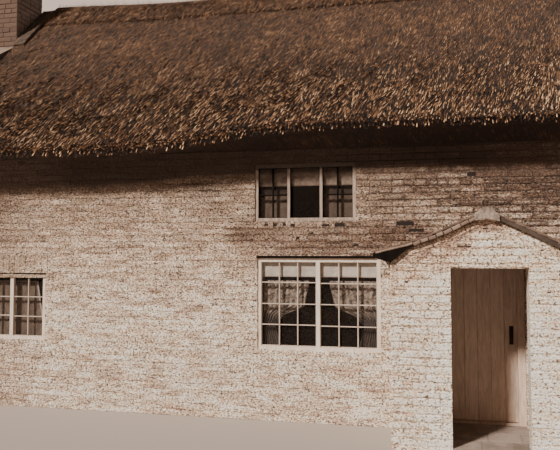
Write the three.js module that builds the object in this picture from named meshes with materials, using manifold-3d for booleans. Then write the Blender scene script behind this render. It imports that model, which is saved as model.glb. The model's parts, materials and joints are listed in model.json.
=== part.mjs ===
// A long thatched cottage of one and a half storeys, with limewashed brick walls,
// a gabled brick porch and a brick stack on its left gable.
// Millimetres, +Z up. The origin is on the ground at the centre of the main block.
// X runs along the front, to the right of somebody who faces it; the front faces -Y.

import * as THREE from 'three';
import { mergeVertices } from 'three/addons/utils/BufferGeometryUtils.js';
import Module from 'manifold-3d';

const wasm = await Module();
wasm.setup();

// Main block
const HALF_LENGTH = 5500;
const HALF_DEPTH = 2600;
const WALL = 350;
const WALL_HEAD = 3130;          // outer top edge of the long walls
const ROOF_SLOPE = 0.8636;       // rise over run of both thatched slopes
const GAP = 0.3;                 // between a wall and the thatch that rests on it
const GROUND_FLOOR_TOP = 80;
const UPPER_FLOOR_BOTTOM = 2030;
const UPPER_FLOOR_TOP = 2180;

// Thatch
const THATCH_DEPTH = 535;        // measured straight down
const EAVE_REACH = 480;          // drip edge in front of the wall
const VERGE_REACH = 150;
const DRIP_HEIGHT = 3240;
const DRIP_SWEEP = 100;          // the front drip edge climbs from left to right
const SWEEP_FROM = -2600;
const SWEEP_TO = -300;
const VERGE_ROUND = 260;
const CROWN_RISE = 80;           // the ridge climbs towards its left end
const CROWN_FROM = 3000;
const CROWN_RUN = 1300;          // down each slope
const SWELL = [[0, 0], [1300, 15], [2300, 30], [2750, 15]];    // out from the ridge, and up
const SWELL_STEPS = 14;
const TUFT_HEIGHT = 50;          // the straw stands in broad tufts on both slopes
const TUFT_PITCH = 551;
const RIDGE_REACH = 430;
const RIDGE_DEPTH = 60;

// Chimney at the left gable, just in front of the ridge; front and rear are -Y and +Y
const STACK_WIDTH = 850;
const STACK_FRONT = -850;
const STACK_REAR = -160;
const BREAST_FRONT = -1300;
const BREAST_REAR = 290;
const SHOULDER_LOW = 4900;
const SHOULDER_HIGH = 5160;
const STACK_TOP = 6950;
const CAP_DEPTH = 230;
const POT_HEIGHT = 420;
const POT_OFFSET = 165;
const FILLET_WIDTH = 200;
const FILLET_RUN = 90;           // past the stack, at front and rear
const FILLET_DEPTH = 60;

// Porch
const PORCH_LEFT = 534;
const PORCH_RIGHT = 2364;
const PORCH_MIDDLE = 1449;
const PORCH_REACH = 940;
const PORCH_WALL = 230;
const PORCH_DOOR_LEFT = 1105;
const PORCH_DOOR_RIGHT = 1822;
const PORCH_DOOR_HEAD = 1790;
const PORCH_FLOOR_TOP = 70;
const PORCH_TILE = 42;
const PORCH_VERGE = 40;
const PORCH_APEX = 2297;
// Underside of the porch roof from apex to eave; the left slope sags and flares.
const PORCH_SLOPE_LEFT = [[1050, 2112], [704, 1980]];
const PORCH_SLOPE_RIGHT = [[1830, 2115], [2106, 1975]];
const PORCH_EAVE_LEFT = [362, 1892];
const PORCH_EAVE_RIGHT = [2532, 1790];
const PORCH_HEAD_LEFT = 1840;
const PORCH_HEAD_RIGHT = 1852;
const CAP_HALF = 117;            // half the width of the mortared ridge

// Front door, in the wall behind the porch
const DOOR_LEFT = 1043;
const DOOR_RIGHT = 1883;
const DOOR_HEAD = 1880;
const DOOR_POST = 60;
const DOOR_SILL = 90;
const DOOR_FRONT = -2500;        // front and back of the door frame
const DOOR_BACK = -2400;
const LEAF_THICK = 45;
const LEAF_GAP = 5;
const STOP_WIDTH = 15;
const HINGE_X = DOOR_LEFT + DOOR_POST - 3;
const HINGE_Y = DOOR_BACK + 8;
const HINGE_RADIUS = 7.6;
const STRAP_LENGTH = 420;

// Windows: centre, width, sill, head, number of lights, and the wood round and between them
const STOUT = { face: 42, mullion: 46 };
const SLIM = { face: 38, mullion: 32 };
const LEFT_WINDOW = { at: -4310, width: 960, sill: 830, head: 1650, lights: 2, ...STOUT };
const RIGHT_WINDOW = { at: 4310, width: 960, sill: 830, head: 1650, lights: 2, ...STOUT };
const MAIN_WINDOW = { at: -364, width: 1426, sill: 812, head: 1860, lights: 2, ...STOUT };
const UPPER_WINDOW = { at: -516, width: 1188, sill: 2290, head: 2950, lights: 3, ...SLIM };
const REAR_LEFT_WINDOW = { at: -2900, width: 960, sill: 830, head: 1650, lights: 2, ...STOUT };
const REAR_RIGHT_WINDOW = { at: 2900, width: 960, sill: 830, head: 1650, lights: 2, ...STOUT };
const REAR_UPPER_WINDOW = { at: 0, width: 1188, sill: 2290, head: 2950, lights: 3, ...SLIM };
const GABLE_WINDOW = { at: 0, width: 800, sill: 2980, head: 3740, lights: 2, ...STOUT };
const FRAME_SETBACK = 10;
const FRAME_DEPTH = 45;
const GLASS_THICK = 4;
const GLASS_INSET = 10;
// Drip boards over the ground floor windows at the front; the left and right ones are thin
const HOOD_LEFT = -1085;
const HOOD_RIGHT = 290;
const HOOD_REACH = 10;
const HOOD_THICK = 22;
const HOOD_RISE = 2;
const SMALL_HOOD_PAST = 12;
const SMALL_HOOD_REACH = 10;
const SMALL_HOOD_THICK = 14;

// Blinds and curtains behind the front glass
const CLOTH_THICK = 8;
const BLIND_BEHIND = 8;           // how far the blinds and the curtains hang behind the frame
const CURTAIN_BEHIND = 40;
const MAIN_BLIND_DROP = 217;
const UPPER_BLIND_DROP = 250;
const HALF_CURTAIN_HEAD = 2700;
const NET_HEAD = 1560;
const CURTAIN_THICK = 24;
// Inner edge of a tied curtain, from its head down: out from the window's middle, and height
const CURTAIN_EDGE = [[20, 1860], [130, 1560], [165, 1340], [440, 1190], [520, 1110], [450, 832]];

const clay = { color: 0x6f5545, roughness: 0.95 };
const limewash = { color: 0xcdb9aa, roughness: 0.95 };
const straw = { color: 0x6e503c, roughness: 1.0 };
const pale = { color: 0xd7cdb9, roughness: 0.6 };
const board = { color: 0x4a3529, roughness: 0.8 };
const pane = { color: 0x3a332e, roughness: 0.08 };
const linen = { color: 0xc9bba8, roughness: 0.95 };
const lime = { color: 0xb9a898, roughness: 0.95 };
const iron = { color: 0x2b2521, roughness: 0.6, metalness: 0.6 };
const flag = { color: 0x7d6b5d, roughness: 0.9 };

const cottage = new THREE.Group();

function add(name, geometry, look) {
  const mesh = new THREE.Mesh(geometry, new THREE.MeshStandardMaterial(look));
  mesh.name = name;
  cottage.add(mesh);
  return mesh;
}

// Plain shapes

function box(x0, x1, y0, y1, z0, z1) {
  const geometry = new THREE.BoxGeometry(x1 - x0, y1 - y0, z1 - z0);
  return geometry.translate((x0 + x1) / 2, (y0 + y1) / 2, (z0 + z1) / 2);
}

function outline(points) {
  return new THREE.Shape(points.map(([u, v]) => new THREE.Vector2(u, v)));
}

// Points are (y, z) and the solid runs along X.
function alongX(points, x0, x1, steps = 1) {
  const depth = x1 - x0;
  const geometry = new THREE.ExtrudeGeometry(outline(points), { depth, steps, bevelEnabled: false });
  const turn = new THREE.Matrix4().makeBasis(
    new THREE.Vector3(0, 1, 0), new THREE.Vector3(0, 0, 1), new THREE.Vector3(1, 0, 0));
  return geometry.applyMatrix4(turn).translate(x0, 0, 0);
}

// Points are (x, z) and the solid runs along Y.
function alongY(points, y0, y1) {
  const depth = y1 - y0;
  const geometry = new THREE.ExtrudeGeometry(outline(points), { depth, bevelEnabled: false });
  const turn = new THREE.Matrix4().makeBasis(
    new THREE.Vector3(1, 0, 0), new THREE.Vector3(0, 0, 1), new THREE.Vector3(0, -1, 0));
  return geometry.applyMatrix4(turn).translate(0, y1, 0);
}

// Points are (x, y) and the solid runs up.
function alongZ(points, z0, z1) {
  const geometry = new THREE.ExtrudeGeometry(outline(points), { depth: z1 - z0, bevelEnabled: false });
  return geometry.translate(0, 0, z0);
}

// Joining and cutting

function toSolid(geometry) {
  const bare = geometry.clone();
  bare.deleteAttribute('normal');
  bare.deleteAttribute('uv');
  const merged = mergeVertices(bare, 1e-3);
  return new wasm.Manifold(new wasm.Mesh({
    numProp: 3,
    vertProperties: new Float32Array(merged.attributes.position.array),
    triVerts: new Uint32Array(merged.index.array),
  }));
}

function toGeometry(solid) {
  const mesh = solid.getMesh();
  const geometry = new THREE.BufferGeometry();
  geometry.setAttribute('position', new THREE.BufferAttribute(new Float32Array(mesh.vertProperties), 3));
  geometry.setIndex(new THREE.BufferAttribute(new Uint32Array(mesh.triVerts), 1));
  geometry.computeVertexNormals();
  return geometry;
}

function cut(geometry, holes) {
  const start = toSolid(geometry);
  return toGeometry(holes.reduce((solid, hole) => solid.subtract(toSolid(hole)), start));
}

function join(geometries) {
  const [first, ...rest] = geometries.map(toSolid);
  return toGeometry(rest.reduce((solid, next) => solid.add(next), first));
}

// Heights that the roof sets

function underside(y) {
  return WALL_HEAD + (HALF_DEPTH - Math.abs(y)) * ROOF_SLOPE;
}

function thatchTop(y) {
  return underside(y) + THATCH_DEPTH;
}

function wallTop(y) {
  return underside(y) - GAP;
}

// Walls

function windowHole(w, y0, y1) {
  return box(w.at - w.width / 2, w.at + w.width / 2, y0 - 10, y1 + 10, w.sill, w.head);
}

function longWall(side, x0, x1, windows, z0 = 0) {
  const outer = side * HALF_DEPTH;
  const inner = side * (HALF_DEPTH - WALL);
  const points = [[outer, z0], [inner, z0], [inner, wallTop(inner)], [outer, wallTop(outer)]];
  const ring = side < 0 ? points : points.reverse();
  const low = Math.min(outer, inner);
  const high = Math.max(outer, inner);
  const body = alongX(ring, x0, x1);
  return windows.length ? cut(body, windows.map((w) => windowHole(w, low, high))) : body;
}

function gableWall(side, window) {
  const inside = HALF_DEPTH - WALL;
  const points = [
    [-inside, 0], [inside, 0], [inside, wallTop(inside)], [0, wallTop(0)], [-inside, wallTop(inside)]];
  const x0 = side < 0 ? -HALF_LENGTH : HALF_LENGTH - WALL;
  const body = alongX(points, x0, x0 + WALL);
  if (!window) return body;
  const left = window.at - window.width / 2;
  const right = window.at + window.width / 2;
  return cut(body, [box(x0 - 10, x0 + WALL + 10, left, right, window.sill, window.head)]);
}

function addWalls() {
  const front = [LEFT_WINDOW, MAIN_WINDOW, UPPER_WINDOW];
  add('front_wall_left', longWall(-1, -HALF_LENGTH, DOOR_LEFT, front), limewash);
  add('front_wall_over_door', longWall(-1, DOOR_LEFT, DOOR_RIGHT, [], DOOR_HEAD), limewash);
  add('front_wall_right', longWall(-1, DOOR_RIGHT, HALF_LENGTH, [RIGHT_WINDOW]), limewash);
  const rear = [REAR_LEFT_WINDOW, REAR_RIGHT_WINDOW, REAR_UPPER_WINDOW];
  add('rear_wall', longWall(1, -HALF_LENGTH, HALF_LENGTH, rear), limewash);
  add('left_gable_wall', gableWall(-1, null), limewash);
  add('right_gable_wall', gableWall(1, GABLE_WINDOW), limewash);
}

// Floors

function addFloors() {
  const x = HALF_LENGTH - WALL;
  const y = HALF_DEPTH - WALL;
  const plan = [
    [-x, -y], [DOOR_LEFT, -y], [DOOR_LEFT, DOOR_BACK], [DOOR_RIGHT, DOOR_BACK],
    [DOOR_RIGHT, -y], [x, -y], [x, y], [-x, y]];
  add('ground_floor', alongZ(plan, 0, GROUND_FLOOR_TOP), flag);
  add('upper_floor', box(-x, x, -y, y, UPPER_FLOOR_BOTTOM, UPPER_FLOOR_TOP), board);
}

// Thatch

function smooth(value, low, high) {
  return THREE.MathUtils.smoothstep(value, low, high);
}

function crown(x, y) {
  return CROWN_RISE * smooth(-x, CROWN_FROM, HALF_LENGTH) * Math.max(0, 1 - Math.abs(y) / CROWN_RUN);
}

// Lifts what lies on the thatch as the thatch itself is lifted.
function followCrown(geometry) {
  const place = geometry.attributes.position;
  for (let i = 0; i < place.count; i += 1) {
    place.setZ(i, place.getZ(i) + crown(place.getX(i), place.getY(i)));
  }
  return geometry;
}

// Broad tufts, which die out under the ridge, at the verges and at the drip edge.
function tufts(x, y) {
  const out = Math.abs(y);
  const end = HALF_LENGTH + VERGE_REACH - Math.abs(x);
  const below = smooth(out, RIDGE_REACH + 50, RIDGE_REACH + 400);
  const above = 1 - smooth(out, HALF_DEPTH + 100, HALF_DEPTH + 400);
  const room = below * above * smooth(end, 350, 700);
  const turn = 2 * Math.PI / TUFT_PITCH;
  const waves = Math.sin(turn * (x + 0.35 * y)) + Math.sin(turn * (0.83 * x - 0.61 * y) + 1.3)
    + Math.sin(turn * (0.22 * x + 0.93 * y) + 2.1);
  return TUFT_HEIGHT * room * THREE.MathUtils.clamp(0.5 + waves / 4.2, 0, 1);
}

function swell(y) {
  const at = SWELL.findIndex(([out], i) => i > 0 && out >= y);
  const [y0, z0] = SWELL[at - 1];
  const [y1, z1] = SWELL[at];
  return z0 + (z1 - z0) * (y - y0) / (y1 - y0);
}

// Lets the eave swell, lifts the crown and the tufts, and rounds the thatch off at both verges.
function shapeThatch(geometry, side) {
  const end = HALF_LENGTH + VERGE_REACH;
  const place = geometry.attributes.position;
  for (let i = 0; i < place.count; i += 1) {
    const x = place.getX(i);
    const y = Math.abs(place.getY(i));
    const z = place.getZ(i);
    const outside = z > underside(y) + THATCH_DEPTH / 3;
    const beyond = smooth(y, outside ? HALF_DEPTH / 2 : HALF_DEPTH, HALF_DEPTH + EAVE_REACH);
    const sweep = side < 0 ? DRIP_SWEEP * (2 * smooth(x, SWEEP_FROM, SWEEP_TO) - 1) : 0;
    const edge = 1 - Math.min(1, (end - Math.abs(x)) / VERGE_ROUND);
    const rounding = outside ? 70 * edge * edge : 0;
    const lift = outside ? crown(x, y) + tufts(x, place.getY(i)) : 0;
    place.setZ(i, z + beyond * sweep + lift - rounding);
  }
  return geometry;
}

function thatchSlope(side) {
  const tip = HALF_DEPTH + EAVE_REACH;
  const last = SWELL[SWELL.length - 1][0];
  const outer = [];
  for (let i = 0; i <= SWELL_STEPS; i += 1) {
    const y = last * i / SWELL_STEPS;
    outer.push([y, thatchTop(y) + swell(y)]);
  }
  const profile = [
    [0, underside(0)], ...outer, [tip - 90, DRIP_HEIGHT + 75], [tip, DRIP_HEIGHT],
    [tip - 30, DRIP_HEIGHT - 55], [tip - 200, DRIP_HEIGHT - 85], [HALF_DEPTH, WALL_HEAD]];
  const points = profile.map(([y, z]) => [side * y, z]);
  const end = HALF_LENGTH + VERGE_REACH;
  const body = alongX(side < 0 ? points.reverse() : points, -end, end, 62);
  const shaped = shapeThatch(body, side);
  const notches = [
    box(-end - 10, -HALF_LENGTH, BREAST_FRONT - 10, BREAST_REAR + 10, 0, SHOULDER_HIGH + 40),
    box(-end - 10, -HALF_LENGTH, STACK_FRONT - 10, STACK_REAR + 10, 0, 8000)];
  return cut(shaped, notches);
}

// Underside of what lies on the thatch near its ridge
function seatOn(y) {
  return thatchTop(y) + GAP * 2 + 16;
}

function saddle(reach, depth, x0, x1) {
  const points = [
    [-reach, seatOn(reach)], [0, seatOn(0)],
    [reach, seatOn(reach)], [reach, thatchTop(reach) + depth * 0.75],
    [reach * 0.35, thatchTop(reach * 0.35) + depth], [0, thatchTop(0) + depth * 0.95],
    [-reach * 0.35, thatchTop(reach * 0.35) + depth], [-reach, thatchTop(reach) + depth * 0.75]];
  return followCrown(alongX(points.reverse(), x0, x1, 40));
}

function addRoof() {
  add('thatch_front', thatchSlope(-1), straw);
  add('thatch_rear', thatchSlope(1), straw);
  const start = -HALF_LENGTH + FILLET_WIDTH;
  const finish = HALF_LENGTH + VERGE_REACH - VERGE_ROUND;
  add('thatch_ridge', saddle(RIDGE_REACH, RIDGE_DEPTH, start, finish), straw);
}

// Chimney

function potAt(y) {
  const base = STACK_TOP + CAP_DEPTH;
  const profile = [[90, 0], [140, 0], [132, 60], [112, POT_HEIGHT - 70], [130, POT_HEIGHT - 50],
    [125, POT_HEIGHT], [90, POT_HEIGHT], [90, 0]];
  const lathe = new THREE.LatheGeometry(profile.map(([r, z]) => new THREE.Vector2(r, z)), 20);
  const pot = lathe.rotateX(Math.PI / 2);
  return pot.translate(-HALF_LENGTH - STACK_WIDTH / 2, y, base);
}

function addChimney() {
  const x0 = -HALF_LENGTH - STACK_WIDTH;
  const profile = [
    [BREAST_FRONT, 0], [BREAST_REAR, 0], [BREAST_REAR, SHOULDER_LOW], [STACK_REAR, SHOULDER_HIGH],
    [STACK_REAR, STACK_TOP], [STACK_FRONT, STACK_TOP], [STACK_FRONT, SHOULDER_HIGH],
    [BREAST_FRONT, SHOULDER_LOW]];
  add('chimney_stack', alongX(profile, x0, -HALF_LENGTH), clay);
  const course = CAP_DEPTH / 3;
  const tiers = [30, 60, 20].map((reach, i) => box(
    x0 - reach, -HALF_LENGTH + reach, STACK_FRONT - reach, STACK_REAR + reach,
    STACK_TOP + i * course, STACK_TOP + (i + 1) * course));
  const middle = (STACK_FRONT + STACK_REAR) / 2;
  const pots = [middle - POT_OFFSET, middle + POT_OFFSET];
  const across = x0 + STACK_WIDTH / 2;
  const flues = pots.map((y) => box(
    across - 60, across + 60, y - 60, y + 60, STACK_TOP - 10, STACK_TOP + CAP_DEPTH + 10));
  add('chimney_cap', cut(join(tiers), flues), clay);
  add('chimney_pot_front', potAt(pots[0]), { color: 0x8a6048, roughness: 0.9 });
  add('chimney_pot_rear', potAt(pots[1]), { color: 0x8a6048, roughness: 0.9 });
  const front = STACK_FRONT - FILLET_RUN;
  const rear = STACK_REAR + FILLET_RUN;
  const fillet = [
    [front, seatOn(front)], [rear, seatOn(rear)], [rear, seatOn(rear) + FILLET_DEPTH * 0.7],
    [STACK_REAR, seatOn(STACK_REAR) + FILLET_DEPTH], [STACK_FRONT, seatOn(STACK_FRONT) + FILLET_DEPTH],
    [front, seatOn(front) + FILLET_DEPTH * 0.5]];
  add('chimney_fillet', followCrown(alongX(fillet, -HALF_LENGTH, -HALF_LENGTH + FILLET_WIDTH)), lime);
}

// Porch

function porchUnderside(left, head) {
  const [first, second] = left ? PORCH_SLOPE_LEFT : PORCH_SLOPE_RIGHT;
  const corner = left ? PORCH_LEFT : PORCH_RIGHT;
  return [[PORCH_MIDDLE, PORCH_APEX], first, second, [corner, head]];
}

function lineHeight(points, x) {
  const reach = Math.abs(x - PORCH_MIDDLE);
  const at = points.findIndex(([px], i) => i > 0 && Math.abs(px - PORCH_MIDDLE) >= reach);
  const [x0, z0] = points[at - 1];
  const [x1, z1] = points[at];
  return z0 + (z1 - z0) * (x - x0) / (x1 - x0);
}

const porchLeftLine = porchUnderside(true, PORCH_HEAD_LEFT);
const porchRightLine = porchUnderside(false, PORCH_HEAD_RIGHT);

function lower([x, z]) {
  return [x, z - 2 * GAP];
}

function addPorchWalls() {
  const front = -HALF_DEPTH - PORCH_REACH;
  const back = front + PORCH_WALL;
  const innerLeft = PORCH_LEFT + PORCH_WALL;
  const innerRight = PORCH_RIGHT - PORCH_WALL;
  const leftJamb = [PORCH_DOOR_LEFT, lineHeight(porchLeftLine, PORCH_DOOR_LEFT)];
  const rightJamb = [PORCH_DOOR_RIGHT, lineHeight(porchRightLine, PORCH_DOOR_RIGHT)];
  const leftTop = [leftJamb, ...porchLeftLine.slice(1)].filter(([x]) => x <= PORCH_DOOR_LEFT);
  const rightTop = porchRightLine.slice(1).filter(([x]) => x > PORCH_DOOR_RIGHT);
  const frontLeft = [[PORCH_LEFT, 0], [PORCH_DOOR_LEFT, 0], ...leftTop.map(lower)];
  add('porch_front_left', alongY(frontLeft, front, back), limewash);
  const rightHead = [rightJamb, ...rightTop].reverse().map(lower);
  const frontRight = [[PORCH_DOOR_RIGHT, 0], [PORCH_RIGHT, 0], ...rightHead];
  add('porch_front_right', alongY(frontRight, front, back), limewash);
  add('porch_front_over_door', alongY([
    [PORCH_DOOR_LEFT, PORCH_DOOR_HEAD], [PORCH_DOOR_RIGHT, PORCH_DOOR_HEAD],
    lower(rightJamb), lower([PORCH_MIDDLE, PORCH_APEX]), lower(leftJamb)], front, back), limewash);
  const leftHead = [
    [innerLeft, lineHeight(porchLeftLine, innerLeft)], PORCH_SLOPE_LEFT[1], [PORCH_LEFT, PORCH_HEAD_LEFT]];
  const leftSide = [[PORCH_LEFT, 0], [innerLeft, 0], ...leftHead.map(lower)];
  add('porch_side_left', alongY(leftSide, back, -HALF_DEPTH), limewash);
  const sideHead = [[PORCH_RIGHT, PORCH_HEAD_RIGHT], [innerRight, lineHeight(porchRightLine, innerRight)]];
  const rightSide = [[innerRight, 0], [PORCH_RIGHT, 0], ...sideHead.map(lower)];
  add('porch_side_right', alongY(rightSide, back, -HALF_DEPTH), limewash);
}

function porchSlope(line, eave) {
  const side = Math.sign(eave[0] - PORCH_MIDDLE);
  const top = [line[0], line[1], line[2], eave].map(([x, z]) => [x, z + PORCH_TILE]);
  const points = [...line, eave, ...top.reverse()];
  const front = -HALF_DEPTH - PORCH_REACH - PORCH_VERGE;
  return alongY(side < 0 ? points.reverse() : points, front, -HALF_DEPTH);
}

function addPorchRoof() {
  const front = -HALF_DEPTH - PORCH_REACH - PORCH_VERGE;
  add('porch_roof_left', porchSlope(porchLeftLine, PORCH_EAVE_LEFT), board);
  add('porch_roof_right', porchSlope(porchRightLine, PORCH_EAVE_RIGHT), board);
  const left = PORCH_MIDDLE - CAP_HALF;
  const right = PORCH_MIDDLE + CAP_HALF;
  const seat = PORCH_TILE + 2 * GAP;
  const leftSeat = lineHeight(porchLeftLine, left) + seat;
  const rightSeat = lineHeight(porchRightLine, right) + seat;
  const crest = PORCH_APEX + seat + 34;
  const cap = alongY([
    [left, leftSeat], [PORCH_MIDDLE, PORCH_APEX + seat], [right, rightSeat], [right, rightSeat + 22],
    [PORCH_MIDDLE + 14, crest], [PORCH_MIDDLE - 14, crest], [left, leftSeat + 22]], front - 22, -HALF_DEPTH);
  const plug = alongY([
    [left, leftSeat - 48], [PORCH_MIDDLE, PORCH_APEX - 44], [right, rightSeat - 48], [right, rightSeat + 10],
    [PORCH_MIDDLE, PORCH_APEX + seat + 20], [left, leftSeat + 10]], front - 22, front - GAP);
  add('porch_ridge', join([cap, plug]), lime);
}

function addPorchFloor() {
  const front = -HALF_DEPTH - PORCH_REACH;
  const back = front + PORCH_WALL;
  const left = PORCH_LEFT + PORCH_WALL;
  const right = PORCH_RIGHT - PORCH_WALL;
  const plan = [
    [PORCH_DOOR_LEFT, front], [PORCH_DOOR_RIGHT, front], [PORCH_DOOR_RIGHT, back], [right, back],
    [right, -HALF_DEPTH], [DOOR_RIGHT, -HALF_DEPTH], [DOOR_RIGHT, DOOR_FRONT], [DOOR_LEFT, DOOR_FRONT],
    [DOOR_LEFT, -HALF_DEPTH], [left, -HALF_DEPTH], [left, back], [PORCH_DOOR_LEFT, back]];
  add('porch_floor', alongZ(plan, 0, PORCH_FLOOR_TOP), flag);
}

// Front door

function addDoor() {
  const inLeft = DOOR_LEFT + DOOR_POST;
  const inRight = DOOR_RIGHT - DOOR_POST;
  const inHead = DOOR_HEAD - DOOR_POST;
  const leafFront = DOOR_BACK - LEAF_THICK;
  const stopBack = leafFront - LEAF_GAP;
  const ring = box(DOOR_LEFT, DOOR_RIGHT, DOOR_FRONT, DOOR_BACK, 0, DOOR_HEAD);
  const leafHole = box(inLeft, inRight, stopBack, DOOR_BACK + 10, DOOR_SILL, inHead);
  const wayHole = box(inLeft + STOP_WIDTH, inRight - STOP_WIDTH, DOOR_FRONT - 10, DOOR_BACK + 10,
    DOOR_SILL, inHead - STOP_WIDTH);
  add('door_frame', cut(ring, [leafHole, wayHole]), board);

  const leafLeft = inLeft + LEAF_GAP;
  const leafRight = inRight - LEAF_GAP;
  const leafTop = inHead - LEAF_GAP;
  add('front_door', box(leafLeft, leafRight, leafFront, DOOR_BACK, DOOR_SILL + LEAF_GAP, leafTop), board);
  [['lower', 380], ['upper', 1520]].forEach(([which, height]) => {
    const barrel = new THREE.CylinderGeometry(HINGE_RADIUS, HINGE_RADIUS, 60, 16).rotateX(Math.PI / 2);
    const strapEnd = HINGE_X + STRAP_LENGTH;
    const strap = box(HINGE_X + 4, strapEnd, DOOR_BACK, DOOR_BACK + 6, height - 20, height + 20);
    add(`door_hinge_${which}`, join([barrel.translate(HINGE_X, HINGE_Y, height), strap]), iron);
  });
  const latchX = leafRight - 70;
  const plate = box(latchX - 22, latchX + 22, leafFront - 4, leafFront, 930, 1130);
  const grip = box(latchX - 9, latchX + 9, leafFront - 36, leafFront - 26, 960, 1100);
  const feet = [960, 1084].map((z) => box(latchX - 9, latchX + 9, leafFront - 30, leafFront - 2, z, z + 16));
  add('door_latch', join([plate, ...feet, grip]), iron);
}

// Windows

function frameGeometry(w, front) {
  const left = w.at - w.width / 2;
  const light = (w.width - 2 * w.face - (w.lights - 1) * w.mullion) / w.lights;
  const back = front + FRAME_DEPTH;
  const holes = [];
  for (let i = 0; i < w.lights; i += 1) {
    const x = left + w.face + i * (light + w.mullion);
    holes.push(box(x, x + light, front - 10, back + 10, w.sill + w.face, w.head - w.face));
  }
  return cut(box(left, left + w.width, front, back, w.sill, w.head), holes);
}

function addWindow(name, w, turn) {
  const face = turn.x ? HALF_LENGTH : HALF_DEPTH;
  const front = -face + FRAME_SETBACK;
  const back = front + FRAME_DEPTH;
  const half = w.width / 2 - GLASS_INSET;
  const low = w.sill + GLASS_INSET;
  const high = w.head - GLASS_INSET;
  const glass = box(w.at - half, w.at + half, back, back + GLASS_THICK, low, high);
  add(`${name}_frame`, frameGeometry(w, front).rotateZ(turn.angle), pale);
  add(`${name}_glass`, glass.rotateZ(turn.angle), pane);
}

function addWindows() {
  const ahead = { angle: 0, x: false };
  const behind = { angle: Math.PI, x: false };
  const right = { angle: Math.PI / 2, x: true };
  addWindow('left_window', LEFT_WINDOW, ahead);
  addWindow('main_window', MAIN_WINDOW, ahead);
  addWindow('upper_window', UPPER_WINDOW, ahead);
  addWindow('right_window', RIGHT_WINDOW, ahead);
  addWindow('rear_left_window', { ...REAR_LEFT_WINDOW, at: -REAR_LEFT_WINDOW.at }, behind);
  addWindow('rear_right_window', { ...REAR_RIGHT_WINDOW, at: -REAR_RIGHT_WINDOW.at }, behind);
  addWindow('rear_upper_window', REAR_UPPER_WINDOW, behind);
  addWindow('gable_window', GABLE_WINDOW, right);
  const hoodBase = MAIN_WINDOW.head + HOOD_RISE;
  add('main_window_hood', box(
    HOOD_LEFT, HOOD_RIGHT, -HALF_DEPTH - HOOD_REACH, -HALF_DEPTH, hoodBase, hoodBase + HOOD_THICK), board);
  [['left_window_hood', LEFT_WINDOW], ['right_window_hood', RIGHT_WINDOW]].forEach(([name, w]) => {
    const half = w.width / 2 + SMALL_HOOD_PAST;
    const front = -HALF_DEPTH - SMALL_HOOD_REACH;
    const top = w.head + SMALL_HOOD_THICK;
    add(name, box(w.at - half, w.at + half, front, -HALF_DEPTH, w.head, top), board);
  });
}

// Cloth behind the front windows; each piece hangs from the top of its opening.

function blind(name, w, drop) {
  const y = -HALF_DEPTH + FRAME_SETBACK + FRAME_DEPTH + BLIND_BEHIND;
  const half = w.width / 2 - 20;
  add(name, box(w.at - half, w.at + half, y, y + CLOTH_THICK, w.head - drop, w.head), linen);
}

function curtain(name, w, side) {
  const y = -HALF_DEPTH + FRAME_SETBACK + FRAME_DEPTH + CURTAIN_BEHIND;
  const outer = w.at + side * (w.width / 2 - 20);
  const inner = CURTAIN_EDGE.map(([reach, z]) => [w.at + side * reach, z]);
  const points = [[outer, w.sill + 20], [outer, w.head], ...inner];
  add(name, alongY(side < 0 ? points.reverse() : points, y, y + CURTAIN_THICK), linen);
}

// A net or half curtain that stands on the sill, between two places across the window.
function net(name, w, from, to, head) {
  const y = -HALF_DEPTH + FRAME_SETBACK + FRAME_DEPTH + CURTAIN_BEHIND;
  add(name, box(w.at + from, w.at + to, y, y + CURTAIN_THICK, w.sill, head), linen);
}

function addCloth() {
  blind('main_window_blind', MAIN_WINDOW, MAIN_BLIND_DROP);
  blind('upper_window_blind', UPPER_WINDOW, UPPER_BLIND_DROP);
  curtain('main_curtain_left', MAIN_WINDOW, -1);
  curtain('main_curtain_right', MAIN_WINDOW, 1);
  const leftHalf = LEFT_WINDOW.width / 2 - 20;
  net('left_window_net', LEFT_WINDOW, -leftHalf, leftHalf, NET_HEAD);
  const upperHalf = UPPER_WINDOW.width / 2 - 20;
  const inner = UPPER_WINDOW.width / 6 + 10;
  net('upper_half_curtain_left', UPPER_WINDOW, -upperHalf, -inner, HALF_CURTAIN_HEAD);
  net('upper_half_curtain_right', UPPER_WINDOW, inner, upperHalf, HALF_CURTAIN_HEAD);
}

addWalls();
addFloors();
addRoof();
addChimney();
addPorchWalls();
addPorchRoof();
addPorchFloor();
addDoor();
addWindows();
addCloth();

export default cottage;
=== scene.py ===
import json
import math
import random

import bpy
from mathutils import Matrix, Vector, noise

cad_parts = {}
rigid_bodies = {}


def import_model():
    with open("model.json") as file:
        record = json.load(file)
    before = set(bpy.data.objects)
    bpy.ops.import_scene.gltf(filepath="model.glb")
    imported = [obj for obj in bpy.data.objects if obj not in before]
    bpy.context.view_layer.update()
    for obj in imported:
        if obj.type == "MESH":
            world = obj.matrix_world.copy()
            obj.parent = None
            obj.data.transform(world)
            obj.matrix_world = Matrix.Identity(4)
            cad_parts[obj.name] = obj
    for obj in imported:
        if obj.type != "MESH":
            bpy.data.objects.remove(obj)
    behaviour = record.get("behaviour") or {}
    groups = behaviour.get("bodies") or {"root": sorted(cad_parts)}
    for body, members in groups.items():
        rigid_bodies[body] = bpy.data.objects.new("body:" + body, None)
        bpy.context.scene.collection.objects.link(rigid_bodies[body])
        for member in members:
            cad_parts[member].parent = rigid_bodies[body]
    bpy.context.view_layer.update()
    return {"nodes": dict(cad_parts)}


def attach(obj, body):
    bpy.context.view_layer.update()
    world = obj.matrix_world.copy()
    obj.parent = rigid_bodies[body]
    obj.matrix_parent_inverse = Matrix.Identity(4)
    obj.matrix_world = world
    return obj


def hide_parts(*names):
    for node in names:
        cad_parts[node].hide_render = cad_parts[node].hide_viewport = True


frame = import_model()
nodes = frame["nodes"]
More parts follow.
